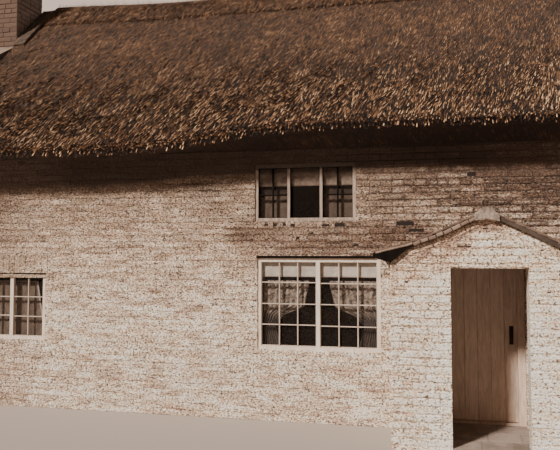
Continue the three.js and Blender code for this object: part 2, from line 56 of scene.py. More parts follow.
print("frame loaded:", len(nodes), "nodes")


def placeObject(name, data):
    thing = bpy.data.objects.new(name, data)
    bpy.context.scene.collection.objects.link(thing)
    return thing


def finishedMesh(thing):
    # the object's mesh after its modifiers; the object itself goes
    mesh = bpy.data.meshes.new_from_object(thing.evaluated_get(bpy.context.evaluated_depsgraph_get()))
    thing.modifiers.clear()
    bpy.data.objects.remove(thing)
    return mesh


# Camera: a 45 mm lens 7.9 m in front of the wall, turned left and tilted a little up
cameraSettings = {
    "place": (1.05, -10.52, 2.0),
    "lens": 45.0,
    "turn": 13.2,
    "tilt": 3.2,
    "shiftY": -0.032,
}


def makeCamera(settings):
    data = bpy.data.cameras.new("cottageCamera")
    data.lens = settings["lens"]
    data.shift_y = settings["shiftY"]
    camera = placeObject("cottageCamera", data)
    camera.location = settings["place"]
    camera.rotation_euler = (math.radians(90 + settings["tilt"]), 0, math.radians(settings["turn"]))
    bpy.context.scene.camera = camera


# Node helpers: make a node, set it, wire it
def feed(tree, socket, value):
    if isinstance(value, bpy.types.NodeSocket):
        tree.links.new(value, socket)
    elif isinstance(value, tuple) and len(value) == 3 and socket.type == "RGBA":
        socket.default_value = (*value, 1.0)
    else:
        socket.default_value = value


def addNode(tree, kind, inputs=None, **settings):
    node = tree.nodes.new(kind)
    for key, value in settings.items():
        setattr(node, key, value)
    for key, value in (inputs or {}).items():
        feed(tree, node.inputs[key], value)
    return node


def newMaterial(name, roughness=0.9, metallic=0.0):
    material = bpy.data.materials.new(name)
    material.use_nodes = True
    shader = material.node_tree.nodes["Principled BSDF"]
    shader.inputs["Roughness"].default_value = roughness
    shader.inputs["Metallic"].default_value = metallic
    return material, material.node_tree


def finishMaterial(material, color, height, strength, distance):
    # the shader gets its colour and a bump, and nothing else that varies
    tree = material.node_tree
    shader = tree.nodes["Principled BSDF"]
    feed(tree, shader.inputs["Base Color"], color)
    bump = addNode(tree, "ShaderNodeBump", {"Height": height, "Strength": strength, "Distance": distance})
    feed(tree, shader.inputs["Normal"], bump.outputs["Normal"])
    return material


def setShader(material, socketName, value):
    material.node_tree.nodes["Principled BSDF"].inputs[socketName].default_value = value


def objectPlace(tree, scale=(1, 1, 1)):
    coords = addNode(tree, "ShaderNodeTexCoord")
    return addNode(tree, "ShaderNodeMapping", {
        "Vector": coords.outputs["Object"], "Scale": scale}).outputs["Vector"]


def splitAxes(tree, vector):
    return addNode(tree, "ShaderNodeSeparateXYZ", {"Vector": vector}).outputs


def noiseValue(tree, place, scale, detail=4.0, roughness=0.55, distortion=0.0):
    return addNode(tree, "ShaderNodeTexNoise", {
        "Vector": place, "Scale": scale, "Detail": detail, "Roughness": roughness,
        "Distortion": distortion}).outputs["Fac"]


def ramp(tree, value, stops):
    node = addNode(tree, "ShaderNodeValToRGB", {"Fac": value})
    elements = node.color_ramp.elements
    while len(elements) < len(stops):
        elements.new(0.5)
    for element, (position, color) in zip(elements, stops):
        element.position = position
        element.color = (*color, 1.0)
    return node.outputs["Color"]


def steps(tree, value, low, high):
    return addNode(tree, "ShaderNodeMapRange", {
        "Value": value, "From Min": low, "From Max": high}, interpolation_type="SMOOTHSTEP").outputs["Result"]


def stretch(tree, value, low, high, atLow, atHigh):
    return addNode(tree, "ShaderNodeMapRange", {
        "Value": value, "From Min": low, "From Max": high,
        "To Min": atLow, "To Max": atHigh}).outputs["Result"]


def maths(tree, operation, a, b=0.0):
    return addNode(tree, "ShaderNodeMath", {0: a, 1: b}, operation=operation).outputs["Value"]


def times(tree, a, b):
    return maths(tree, "MULTIPLY", a, b)


def plus(tree, a, b):
    return maths(tree, "ADD", a, b)


def minus(tree, a, b):
    return maths(tree, "SUBTRACT", a, b)


def weighted(tree, *pairs):
    # the sum of some values, each times its weight
    total = None
    for value, weight in pairs:
        part = times(tree, value, weight)
        total = part if total is None else plus(tree, total, part)
    return total


def mixColor(tree, factor, a, b, blend="MIX"):
    # a colour mix's own sockets: 0 the factor, 6 and 7 the colours, 2 the result
    inputs = {0: factor, 6: a, 7: b}
    return addNode(tree, "ShaderNodeMix", inputs, data_type="RGBA", blend_type=blend).outputs[2]


def attribute(tree, name):
    return addNode(tree, "ShaderNodeAttribute", attribute_name=name, attribute_type="GEOMETRY").outputs["Fac"]


def softBox(tree, area):
    # the area's amount inside a stretch of wall, fading out over the given edge
    split = splitAxes(tree, objectPlace(tree))
    inside, edge = area["amount"], area["edge"]
    for axis in ("X", "Z"):
        low, high = area[axis.lower()]
        rise = steps(tree, split[axis], low - edge, low + edge)
        drop = steps(tree, split[axis], high + edge, high - edge)
        inside = times(tree, inside, times(tree, rise, drop))
    return inside


# Limewash on brick: thick pale wash, gritty and pitted, worn off in patches down to the brick.
# It lasts longest in the middle of a brick's face, which the bricks carry as the attribute heart.
wallColors = {
    "wash": (0.47, 0.34, 0.248),
    "washBright": (0.76, 0.62, 0.505),
    "washDull": (0.24, 0.155, 0.105),
    "brick": (0.225, 0.128, 0.084),
    "brickDark": (0.105, 0.058, 0.038),
    "joint": (0.40, 0.295, 0.225),
    "jointDark": (0.085, 0.050, 0.035),
    "line": (0.13, 0.078, 0.054),
    "red": (0.30, 0.165, 0.112),
    "redAmount": 0.34,
    "grime": (0.16, 0.094, 0.063),
    "pit": (0.05, 0.028, 0.020),
    "pitAmount": 0.8,
    # sunken blocks: near-black for dark brick ends, and painted shade inside holes and open joints
    "scar": (0.020, 0.0108, 0.0072),
    "wornEdge": 0.14,                    # how softly wash turns into bare brick
    "speckle": (0.41, 0.59, 0.08, 1.85),                          # grit from this to that: strength from, to
    "toneSpan": (0.36, 0.86),            # from brick to brick
    "grade": (1.0, 2.75, 1.36, 0.58),    # from this height to that, the wash goes from strength to strength
    "highTint": (1.0, 0.93, 0.87),
    "brightest": (0.90, 0.86, 0.81),
    # The eave's shade, painted into the wall: dark above a line that follows the edge of the eave's cast
    # shadow
    "eaveShadeColor": (0.045, 0.029, 0.022),
    "shadeFoot": 2.75,                   # where the painted shade under the eave starts, at the left end
    "shadeClimbs": [(-2.9, -1.7, 0.085), (-1.3, 0.6, 0.062)],     # from this X to that, it climbs so much
    "shadeEdge": (-0.03, 0.035),
    "shadeFringe": (-0.20, 0.02, 0.5),    # a paler painted shade reaches further down, as the shadow's soft edge
    "shadeMost": 0.82,
    "shadeEnds": [(-3.2, -4.6, 0.45), (1.0, 2.3, 0.50)],          # and towards the ends it is so much weaker
}


# Paints the eave's shadow into the wall's colour, with a paler painted fringe below its edge
def paintShadeUnderEave(tree, color, across, height):
    level = minus(tree, height, wallColors["shadeFoot"])
    for start, end, climb in wallColors["shadeClimbs"]:
        level = minus(tree, level, times(tree, steps(tree, across, start, end), climb))
    low, high, amount = wallColors["shadeFringe"]
    color = mixColor(tree, times(tree, steps(tree, level, low, high), amount), color, wallColors["grime"])
    most = wallColors["shadeMost"]
    for start, end, less in wallColors["shadeEnds"]:
        most = minus(tree, most, times(tree, steps(tree, across, start, end), less))
    shadeAmount = times(tree, steps(tree, level, *wallColors["shadeEdge"]), most)
    return mixColor(tree, shadeAmount, color, wallColors["eaveShadeColor"])


def wallMaterial(name, worn, isJoint, areas=(), grimeAreas=(), bright=1.0, shadedUnderEave=False, lines=0.50):
    material, tree = newMaterial(name, 0.93)
    place = objectPlace(tree)
    split = splitAxes(tree, place)
    height = split["Z"]
    patches = noiseValue(tree, place, 0.8, 4.0, 0.6, 0.5)
    streaks = noiseValue(tree, objectPlace(tree, (0.55, 0.55, 3.0)), 6.5, 6.0, 0.75)
    fine = noiseValue(tree, place, 30.0, 6.0, 0.85)
    grit = noiseValue(tree, objectPlace(tree, (1.0, 1.0, 1.5)), 46.0, 2.0, 0.75)
    broken = noiseValue(tree, objectPlace(tree, (1.0, 1.0, 3.4)), 6.5, 3.0, 0.7)
    tone = attribute(tree, "tone")
    wash = ramp(tree, streaks, [
        (0.30, wallColors["washDull"]), (0.45, wallColors["wash"]), (0.66, wallColors["washBright"])])
    reds = steps(tree, noiseValue(tree, objectPlace(tree, (1.0, 1.0, 3.0)), 2.6, 4.0, 0.7), 0.52, 0.68)
    wash = mixColor(tree, times(tree, reds, wallColors["redAmount"]), wash, wallColors["red"])
    brickLuck = ()
    if isJoint:
        hidden = steps(tree, patches, 0.62, 0.40)       # here the wash fills the joints too
        bare = mixColor(tree, steps(tree, fine, 0.4, 0.65), wallColors["jointDark"], wallColors["joint"])
        wash = mixColor(tree, times(tree, hidden, 0.75), wallColors["joint"], wash)
    else:
        bare = mixColor(tree, tone, wallColors["brickDark"], wallColors["brick"])
        bare = mixColor(tree, steps(tree, grit, 0.5, 0.75), bare, wallColors["washDull"])
        heart = attribute(tree, "heart")
        lined = times(tree, steps(tree, heart, 0.50, 0.12), steps(tree, broken, 0.50, 0.62))
        wash = mixColor(tree, times(tree, lined, lines), wash, wallColors["line"])
        brickLuck = ((tone, -0.12), (heart, -0.13))
    # bare where a large patch, a fine chip, a weathered stretch and the brick's own luck add up
    total = weighted(tree, (patches, 0.8), (fine, 0.80), (streaks, -0.45), *brickLuck)
    for area in areas:
        total = plus(tree, total, softBox(tree, area))
    color = mixColor(tree, steps(tree, total, worn, worn + wallColors["wornEdge"]), wash, bare)
    for area in grimeAreas:
        color = mixColor(tree, softBox(tree, area), color, wallColors["grime"])
    strength = stretch(tree, weighted(tree, (fine, 0.4), (grit, 0.6)), *wallColors["speckle"])
    low, high, atLow, atHigh = wallColors["grade"]
    strength = times(tree, strength, stretch(tree, height, low, high, atLow * bright, atHigh * bright))
    if not isJoint:
        span, least = wallColors["toneSpan"]
        strength = times(tree, strength, plus(tree, times(tree, tone, span), least))
    color = mixColor(tree, 1.0, color, strength, "MULTIPLY")
    tinted = mixColor(tree, 1.0, color, wallColors["highTint"], "MULTIPLY")
    color = mixColor(tree, steps(tree, height, low, high), color, tinted)
    color = mixColor(tree, 1.0, color, wallColors["brightest"], "DARKEN")
    pits = steps(tree, noiseValue(tree, objectPlace(tree, (1.0, 1.0, 1.5)), 27.0, 1.0, 0.5), 0.68, 0.73)
    color = mixColor(tree, times(tree, pits, wallColors["pitAmount"]), color, wallColors["pit"])
    # painted shade under the eave
    if shadedUnderEave:
        color = paintShadeUnderEave(tree, color, split["X"], height)
    # the sunken blocks' near-black: dark brick ends, and painted shade in holes and open joints
    if not isJoint:
        color = mixColor(tree, attribute(tree, "scar"), color, wallColors["scar"])
    return finishMaterial(material, color, plus(tree, fine, times(tree, grit, 0.6)), 0.9, 0.016)


# Bare brick and its mortar, for the stack
stackColors = {
    "low": (0.086, 0.047, 0.031),
    "high": (0.155, 0.092, 0.063),
    "mortarLow": (0.082, 0.050, 0.035),
    "mortarHigh": (0.155, 0.103, 0.075),
    "shoulder": (0.25, 0.175, 0.130),    # lime mortar on what faces up
}


def bareBrickMaterial(name, low, high, onTop=None):
    material, tree = newMaterial(name, 0.92)
    place = objectPlace(tree)
    patches = noiseValue(tree, place, 2.2, 5.0, 0.6)
    fine = noiseValue(tree, place, 55.0, 4.0, 0.7)
    color = mixColor(tree, weighted(tree, (attribute(tree, "tone"), 0.6), (patches, 0.5)), low, high)
    color = mixColor(tree, times(tree, steps(tree, fine, 0.4, 0.8), 0.4), color, low)
    if onTop:
        facing = addNode(tree, "ShaderNodeTexCoord").outputs["Normal"]
        up = steps(tree, splitAxes(tree, facing)["Z"], 0.2, 0.35)
        color = mixColor(tree, times(tree, up, steps(tree, patches, 0.25, 0.5)), color, onTop)
    return finishMaterial(material, color, fine, 0.7, 0.01)


# Straw: every strand has its own tone, and weathered patches run across the roof
strawColors = {
    "dark": (0.022, 0.011, 0.007),
    "low": (0.090, 0.040, 0.0175),
    "mid": (0.31, 0.150, 0.069),
    "bright": (0.82, 0.55, 0.335),
    "comb": 0.30,                        # the straw leans so much to the left on its way down
    "eave": (1.6, 2.9),                  # from this far out to that, the contrast grows
    "coat": (0.235, 0.20),               # how light the coat under the strands is, less so much at the eave: painted shade in the gaps between strands
    "strand": (0.34, 0.15),              # and the strands
}


def strawMaterial(name, isCoat):
    # combed streaks, finer up the slope and of stronger contrast towards the eave
    material, tree = newMaterial(name, 0.85)
    place = objectPlace(tree)
    split = splitAxes(tree, place)
    out = maths(tree, "ABSOLUTE", split["Y"])
    across = plus(tree, split["X"], times(tree, out, strawColors["comb"]))
    combed = addNode(tree, "ShaderNodeCombineXYZ", {
        "X": times(tree, across, 75.0), "Y": times(tree, out, 8.0), "Z": times(tree, split["Z"], 8.0)})
    streaks = minus(tree, noiseValue(tree, combed.outputs["Vector"], 1.0, 5.0, 0.75), 0.5)
    patches = minus(tree, noiseValue(tree, place, 1.3, 4.0, 0.6), 0.5)
    tufts = minus(tree, noiseValue(tree, objectPlace(tree, (9.0, 4.0, 4.0)), 1.0, 3.0, 0.6), 0.5)
    eave = steps(tree, out, *strawColors["eave"])
    if isCoat:
        # the coat darkens towards the eave as painted shade between the strands
        light, less = strawColors["coat"]
        value = weighted(tree, (streaks, 2.6), (tufts, 0.5))
    else:
        light, less = strawColors["strand"]
        tone = minus(tree, attribute(tree, "tone"), 0.5)
        contrast = plus(tree, times(tree, eave, 0.55), 0.95)
        value = weighted(tree, (tone, contrast), (streaks, 1.2), (tufts, 0.6))
    value = plus(tree, value, minus(tree, light, times(tree, eave, less)))
    value = plus(tree, value, times(tree, patches, 0.5))
    color = ramp(tree, value, [
        (0.08, strawColors["dark"]), (0.34, strawColors["low"]), (0.70, strawColors["mid"]),
        (0.98, strawColors["bright"])])
    return finishMaterial(material, color, streaks, 0.9, 0.03)


# Wood and paint: grain along the board, flakes down to the wood, and painted shade from a given height up, as
# under the eave
def woodMaterial(name, low, high, grain=(3.0, 3.0, 0.4), roughness=0.7, worn=0.0, bare=None, shadeFrom=0.0):
    material, tree = newMaterial(name, roughness)
    place = objectPlace(tree)
    lines = noiseValue(tree, objectPlace(tree, grain), 14.0, 6.0, 0.65, 0.3)
    fine = noiseValue(tree, place, 60.0, 3.0, 0.6)
    tone = times(tree, attribute(tree, "tone"), 0.35)
    color = mixColor(tree, plus(tree, steps(tree, lines, 0.3, 0.75), tone), low, high)
    if worn:
        flakes = steps(tree, noiseValue(tree, place, 24.0, 6.0, 0.7), 1.0 - worn, 1.06 - worn)
        color = mixColor(tree, flakes, color, bare)
    # painted shade: near-black from this height up, where the eave's shadow falls
    if shadeFrom:
        topShade = times(tree, steps(tree, splitAxes(tree, place)["Z"], shadeFrom, shadeFrom + 0.04), 0.88)
        color = mixColor(tree, topShade, color, wallColors["eaveShadeColor"])
    return finishMaterial(material, color, plus(tree, lines, times(tree, fine, 0.4)), 0.4, 0.004)


def stoneMaterial(name, low, high, scale=6.0, roughness=0.9, depth=0.01):
    material, tree = newMaterial(name, roughness)
    place = objectPlace(tree)
    large = noiseValue(tree, place, scale, 6.0, 0.65)
    fine = noiseValue(tree, place, scale * 9, 4.0, 0.7)
    tone = times(tree, attribute(tree, "tone"), 0.4)
    color = mixColor(tree, plus(tree, steps(tree, large, 0.3, 0.8), tone), low, high)
    color = mixColor(tree, times(tree, steps(tree, fine, 0.45, 0.75), 0.5), color, low)
    return finishMaterial(material, color, plus(tree, large, fine), 0.8, depth)


def ironMaterial(name):
    material, tree = newMaterial(name, 0.6, 0.7)
    rust = noiseValue(tree, objectPlace(tree), 70.0, 5.0, 0.7)
    color = ramp(tree, rust, [(0.35, (0.02, 0.014, 0.012)), (0.7, (0.09, 0.045, 0.028))])
    return finishMaterial(material, color, rust, 0.5, 0.003)


def glassMaterial(name, color, alpha):
    material, tree = newMaterial(name, 0.05)
    ripple = noiseValue(tree, objectPlace(tree), 5.0, 2.0, 0.5)
    dust = noiseValue(tree, objectPlace(tree), 30.0, 5.0, 0.7)
    setShader(material, "Alpha", alpha)
    dusty = mixColor(tree, dust, color, tuple(c * 0.6 for c in color))
    return finishMaterial(material, dusty, ripple, 0.25, 0.02)


# Cloth: a hem is a pale edge from so far across; dark is where, down from its head, the cloth loses its light
def clothMaterial(name, low, high, motifScale=0.0, hem=None, dark=None):
    material, tree = newMaterial(name, 0.92)
    place = addNode(tree, "ShaderNodeUVMap", uv_map="flat").outputs["UV"]
    weave = noiseValue(tree, place, 260.0, 2.0, 0.5)
    soft = noiseValue(tree, place, motifScale or 9.0, 5.0, 0.7, 1.4 if motifScale else 0.0)
    color = mixColor(tree, steps(tree, soft, 0.36, 0.62), low, high)
    split = splitAxes(tree, place)
    if hem:
        side = steps(tree, split["X"], hem["from"], hem["from"] + 0.004)
        head = steps(tree, split["Y"], 0.018, 0.012)
        color = mixColor(tree, maths(tree, "MAXIMUM", side, head), color, hem["color"])
    if dark:
        fade = times(tree, steps(tree, split["Y"], dark["from"], dark["to"]), dark["amount"])
        color = mixColor(tree, fade, color, dark["color"])
    setShader(material, "Sheen Weight", 0.15)
    return finishMaterial(material, color, weave, 0.3, 0.002)


# Weathered stretches: right of the upper window, under it, the whole middle, under the eave,
# left of the porch, and between the left and the main window
frontWear = [
    {"x": (0.8, 5.7), "z": (2.00, 3.3), "edge": 0.5, "amount": 0.27},
    {"x": (-1.5, 0.9), "z": (1.86, 2.27), "edge": 0.12, "amount": 0.24},
    {"x": (-2.1, 0.9), "z": (1.9, 3.3), "edge": 0.5, "amount": 0.08},
    {"x": (-5.7, 5.7), "z": (2.55, 3.4), "edge": 0.25, "amount": 0.10},
    {"x": (0.36, 0.56), "z": (0.8, 1.75), "edge": 0.08, "amount": 0.16},
    {"x": (-3.9, -2.6), "z": (1.4, 2.0), "edge": 0.4, "amount": 0.07},
]
# Grimy ones: the left end, over the main window, round the upper window and right of it
frontGrime = [
    {"x": (-7.0, -4.1), "z": (-1.0, 4.0), "edge": 0.5, "amount": 0.42},
    {"x": (-1.35, 0.95), "z": (1.88, 2.27), "edge": 0.14, "amount": 0.60},
    {"x": (-1.9, 0.8), "z": (2.2, 4.0), "edge": 0.4, "amount": 0.14},
    {"x": (0.05, 1.1), "z": (2.40, 3.3), "edge": 0.35, "amount": 0.24},
]
# The porch: along its left verge, at its peak and down its left edge
porchWear = [
    {"x": (0.5, 1.3), "z": (1.78, 2.4), "edge": 0.12, "amount": 0.16},
    {"x": (1.2, 1.7), "z": (2.1, 2.4), "edge": 0.07, "amount": 0.16},
    {"x": (0.5, 0.95), "z": (0.9, 2.0), "edge": 0.2, "amount": 0.10},
]
porchGrime = [
    {"x": (0.3, 0.85), "z": (-1.0, 2.3), "edge": 0.2, "amount": 0.34},
    {"x": (0.3, 1.25), "z": (1.86, 2.5), "edge": 0.12, "amount": 0.62},
    {"x": (1.2, 1.8), "z": (2.15, 2.5), "edge": 0.06, "amount": 0.70},
]
levelGrain = (0.4, 3.0, 3.0)             # of a board that lies across

# the front and rear walls carry painted shade under the eave
frontWash = wallMaterial("frontLimewash", 0.72, False, frontWear, frontGrime, shadedUnderEave=True)
frontJoint = wallMaterial("frontJoint", 0.62, True, frontWear, frontGrime, shadedUnderEave=True)
porchWash = wallMaterial("porchLimewash", 0.80, False, porchWear, porchGrime, 2.0, lines=0.74)
porchJoint = wallMaterial("porchJoint", 0.70, True, porchWear, porchGrime, 1.7)
rearWash = wallMaterial("rearLimewash", 0.74, False, shadedUnderEave=True)
rearJoint = wallMaterial("rearJoint", 0.64, True, shadedUnderEave=True)
sideWash = wallMaterial("sideLimewash", 0.74, False)
sideJoint = wallMaterial("sideJoint", 0.64, True)
stackBrick = bareBrickMaterial("stackBrick", stackColors["low"], stackColors["high"])
stackMortar = bareBrickMaterial(
    "stackMortar", stackColors["mortarLow"], stackColors["mortarHigh"], stackColors["shoulder"])
strawCoat = strawMaterial("strawCoat", True)
strawStrand = strawMaterial("strawStrand", False)
underPaint = (0.22, 0.145, 0.10)
# the upper frames: painted shade at their heads, where the eave's shadow falls
brownPaint = woodMaterial(
    "brownPaint", (0.23, 0.160, 0.120), (0.47, 0.36, 0.285), worn=0.4, bare=(0.13, 0.08, 0.055),
    shadeFrom=2.87)
framePaint = woodMaterial("framePaint", (0.60, 0.48, 0.39), (0.80, 0.68, 0.57), worn=0.36, bare=underPaint)
barPaint = woodMaterial("barPaint", (0.40, 0.30, 0.23), (0.62, 0.50, 0.41), worn=0.3, bare=underPaint)
doorWood = woodMaterial("doorWood", (0.50, 0.355, 0.265), (0.76, 0.58, 0.46))
# near-black wood for the boards over the windows and the upper windows' bars
blackWood = woodMaterial("blackWood", (0.006, 0.004, 0.003), (0.016, 0.010, 0.007), levelGrain, 1.0)
floorWood = woodMaterial("floorWood", (0.12, 0.075, 0.05), (0.26, 0.17, 0.115), levelGrain)
flagStone = stoneMaterial("flagStone", (0.16, 0.115, 0.09), (0.34, 0.26, 0.21), 4.0)
tileClay = stoneMaterial("tileClay", (0.085, 0.050, 0.035), (0.22, 0.14, 0.098), 7.0)
# near-black slab for the left porch slope: painted shade at its eave end and front edge
paintedShadeClay = stoneMaterial("paintedShadeClay", (0.005, 0.003, 0.002), (0.016, 0.010, 0.007), 7.0)
edgeClay = stoneMaterial("edgeClay", (0.045, 0.027, 0.019), (0.12, 0.078, 0.056), 7.0)
vergeBrick = bareBrickMaterial("vergeBrick", (0.10, 0.058, 0.040), (0.36, 0.25, 0.185))
ridgeMortar = stoneMaterial("ridgeMortar", (0.13, 0.080, 0.055), (0.52, 0.41, 0.33), 14.0, 0.95, 0.014)
filletMortar = stoneMaterial("filletMortar", (0.058, 0.034, 0.023), (0.15, 0.096, 0.066), 9.0, 0.95, 0.014)
potClay = stoneMaterial("potClay", (0.17, 0.082, 0.048), (0.36, 0.20, 0.13), 8.0)
wroughtIron = ironMaterial("wroughtIron")
windowGlass = glassMaterial("windowGlass", (0.05, 0.035, 0.028), 0.14)
blindCloth = clothMaterial("blindCloth", (0.60, 0.50, 0.42), (0.80, 0.70, 0.61))
laceCloth = clothMaterial(
    "laceCloth", (0.045, 0.028, 0.020), (0.46, 0.35, 0.275), 20.0,
    dark={"from": 0.30, "to": 0.46, "color": (0.034, 0.021, 0.015), "amount": 0.90})
# the upper blind: a darker copy of the blind's cloth, painted shade as if under the eave, its head painted
# darker still
shadedBlindCloth = clothMaterial(
    "shadedBlindCloth", (0.24, 0.16, 0.115), (0.42, 0.31, 0.24),
    dark={"from": 0.13, "to": 0.07, "color": (0.03, 0.019, 0.014), "amount": 0.75})
netCloth = clothMaterial(
    "netCloth", (0.13, 0.085, 0.06), (0.21, 0.145, 0.105), 7.0, {"from": 0.905, "color": (0.52, 0.42, 0.34)})
halfCloth = clothMaterial(
    "halfCloth", (0.11, 0.072, 0.050), (0.165, 0.11, 0.080), 7.0,
    dark={"from": 0.105, "to": 0.095, "color": (0.035, 0.021, 0.015), "amount": 0.85})
for dull in (blackWood, paintedShadeClay):
    setShader(dull, "Specular IOR Level", 0.1)
print("materials made")


# What each CAD node is made of
nodeFinishes = {
    frontJoint: ["front_wall_left", "front_wall_over_door", "front_wall_right"],
    rearJoint: ["rear_wall"],
    sideJoint: ["left_gable_wall", "right_gable_wall"],
    porchJoint: [name for name in nodes if name.startswith(("porch_front_", "porch_side_"))],
    stackMortar: ["chimney_stack", "chimney_cap"],
    strawCoat: ["thatch_front", "thatch_rear", "thatch_ridge"],
    flagStone: ["ground_floor", "porch_floor"],
    floorWood: ["upper_floor"],
    paintedShadeClay: ["porch_roof_left"],
    edgeClay: ["porch_roof_right"],
    ridgeMortar: ["porch_ridge"],
    filletMortar: ["chimney_fillet"],
    potClay: ["chimney_pot_front", "chimney_pot_rear"],
    blackWood: ["main_window_hood", "left_window_hood", "right_window_hood"],
    doorWood: ["door_frame", "front_door"],
    wroughtIron: ["door_hinge_lower", "door_hinge_upper", "door_latch"],
    framePaint: [name for name in nodes if name.endswith("_window_frame") and "upper" not in name],
    brownPaint: ["upper_window_frame", "rear_upper_window_frame"],
    windowGlass: [name for name in nodes if name.endswith("_window_glass")],
    blindCloth: ["main_window_blind", "upper_window_blind"],
    laceCloth: ["main_curtain_left", "main_curtain_right"],
    netCloth: ["left_window_net"],
    halfCloth: ["upper_half_curtain_left", "upper_half_curtain_right"],
}
for finish, names in nodeFinishes.items():
    for name in names:
        nodes[name].data.materials.clear()
        nodes[name].data.materials.append(finish)


def newPiece(name, mesh, replaced=(), body="house"):
    piece = placeObject(name, mesh)
    mesh.name = name
    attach(piece, body)
    if replaced:
        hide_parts(*replaced)
    return piece


def growMesh(source, tree, values):
    # runs a Geometry Nodes tree over a mesh and keeps the result as a plain mesh
    grower = placeObject("grower", source)
    modifier = grower.modifiers.new("grow", "NODES")
    modifier.node_group = tree
    for item in tree.interface.items_tree:
        if item.item_type == "SOCKET" and item.in_out == "INPUT" and item.name in values:
            modifier[item.identifier] = values[item.name]
    mesh = finishedMesh(grower)
    for spare in ("size", "turn", "inset", "grow", "fall", "long"):
        if spare in mesh.attributes:
            mesh.attributes.remove(mesh.attributes[spare])
    return mesh


def hiddenObject(name, mesh):
    blank = placeObject(name, mesh)
    blank.hide_render = True
    return blank


# A blank brick, board or bar: a unit block whose chamfer, across and upright, is kept as an offset in metres
def makeBlank(name, columns, rows, across, upright=None, levelOnly=False):
    upright = across if upright is None else upright
    points, insets, faces, hearts = [], [], [], []
    grid = {}
    for j in range(rows + 1):
        for i in range(columns + 1):
            sideX = (i == columns) - (i == 0)
            sideZ = (j == rows) - (j == 0)
            grid[i, j] = len(points)
            points.append((i / columns - 0.5, -0.5, j / rows - 0.5))
            insets.append((-sideX * across, 0.0, -sideZ * upright))
            hearts.append(0.0 if sideZ or (sideX and not levelOnly) else 1.0)
    for j in range(rows):
        for i in range(columns):
            faces.append((grid[i, j], grid[i + 1, j], grid[i + 1, j + 1], grid[i, j + 1]))
    sides = [
        [(i, 0) for i in range(columns + 1)],
        [(columns, j) for j in range(rows + 1)],
        [(i, rows) for i in range(columns, -1, -1)],
        [(0, j) for j in range(rows, -1, -1)]]
    ring = {}
    for side in sides:
        for spot in side[:-1]:
            ring[spot] = len(points)
            points.append(points[grid[spot]])
            insets.append((0.0, upright, 0.0))
    back = []
    for x, z in ((-0.5, -0.5), (0.5, -0.5), (0.5, 0.5), (-0.5, 0.5)):
        back.append(len(points))
        points.append((x, 0.5, z))
        insets.append((0.0, 0.0, 0.0))
    for k, side in enumerate(sides):
        for a, b in zip(side, side[1:]):
            faces.append((ring[a], ring[b], grid[b], grid[a]))
        faces.append((back[k], back[(k + 1) % 4], *[ring[spot] for spot in reversed(side)]))
    faces.append(tuple(reversed(back)))
    mesh = bpy.data.meshes.new(name)
    mesh.from_pydata(points, [], faces)
    layer = mesh.attributes.new("inset", "FLOAT_VECTOR", "POINT")
    layer.data.foreach_set("vector", [value for inset in insets for value in inset])
    layer = mesh.attributes.new("heart", "FLOAT", "POINT")
    layer.data.foreach_set("value", hearts + [0.0] * (len(points) - len(hearts)))
    return hiddenObject(name, mesh)


# Geometry Nodes helpers
def makeTree(name, inputs):
    tree = bpy.data.node_groups.new(name, "GeometryNodeTree")
    for label, kind in {"Geometry": "Geometry", **inputs, "Material": "Material"}.items():
        tree.interface.new_socket(label, in_out="INPUT", socket_type="NodeSocket" + kind)
    tree.interface.new_socket("Geometry", in_out="OUTPUT", socket_type="NodeSocketGeometry")
    return tree, addNode(tree, "NodeGroupInput").outputs


def named(tree, name, kind="FLOAT"):
    node = addNode(tree, "GeometryNodeInputNamedAttribute", {"Name": name}, data_type=kind)
    return node.outputs["Attribute"]


def vectors(tree, operation, a, b):
    return addNode(tree, "ShaderNodeVectorMath", {0: a, 1: b}, operation=operation).outputs["Vector"]


def scaled(tree, vector, factor):
    inputs = {0: vector, "Scale": factor}
    return addNode(tree, "ShaderNodeVectorMath", inputs, operation="SCALE").outputs["Vector"]


def chance(tree, low, high, seed):
    # a random number; a float's own sockets are 2 and 3, its result is 1
    inputs = {2: low, 3: high, "Seed": seed}
    return addNode(tree, "FunctionNodeRandomValue", inputs, data_type="FLOAT").outputs[1]


def moved(tree, geometry, offset):
    inputs = {"Geometry": geometry, "Offset": offset}
    return addNode(tree, "GeometryNodeSetPosition", inputs).outputs["Geometry"]


def realized(tree, instances):
    return addNode(tree, "GeometryNodeRealizeInstances", {"Geometry": instances}).outputs["Geometry"]


def endTree(tree, geometry, material):
    painted = addNode(tree, "GeometryNodeSetMaterial", {"Geometry": geometry, "Material": material})
    addNode(tree, "NodeGroupOutput", {"Geometry": painted.outputs["Geometry"]})
    return tree


# A blank set out on points that carry its size, turn, tone and the near-black mark of sunken blocks
def makeSetOutTree():
    tree, start = makeTree("setOut", {"Blank": "Object", "Uneven": "Float", "Grain": "Float"})
    blank = addNode(tree, "GeometryNodeObjectInfo", {"Object": start["Blank"]}).outputs["Geometry"]
    size, turn, inset = (named(tree, name, "FLOAT_VECTOR") for name in ("size", "turn", "inset"))
    rotation = addNode(tree, "FunctionNodeEulerToRotation", {"Euler": turn}).outputs["Rotation"]
    placed = addNode(tree, "GeometryNodeInstanceOnPoints", {
        "Points": start["Geometry"], "Instance": blank, "Scale": size, "Rotation": rotation})
    real = realized(tree, placed.outputs["Instances"])
    chamfer = addNode(tree, "FunctionNodeRotateVector", {"Vector": inset, "Rotation": rotation})
    shaped = moved(tree, real, chamfer.outputs["Vector"])
    wobble = addNode(tree, "ShaderNodeTexNoise", {"Scale": start["Grain"], "Detail": 2.0}).outputs["Color"]
    centred = vectors(tree, "SUBTRACT", wobble, (0.5, 0.5, 0.5))
    uneven = moved(tree, shaped, scaled(tree, centred, start["Uneven"]))
    return endTree(tree, uneven, start["Material"])


setOutTree = makeSetOutTree()


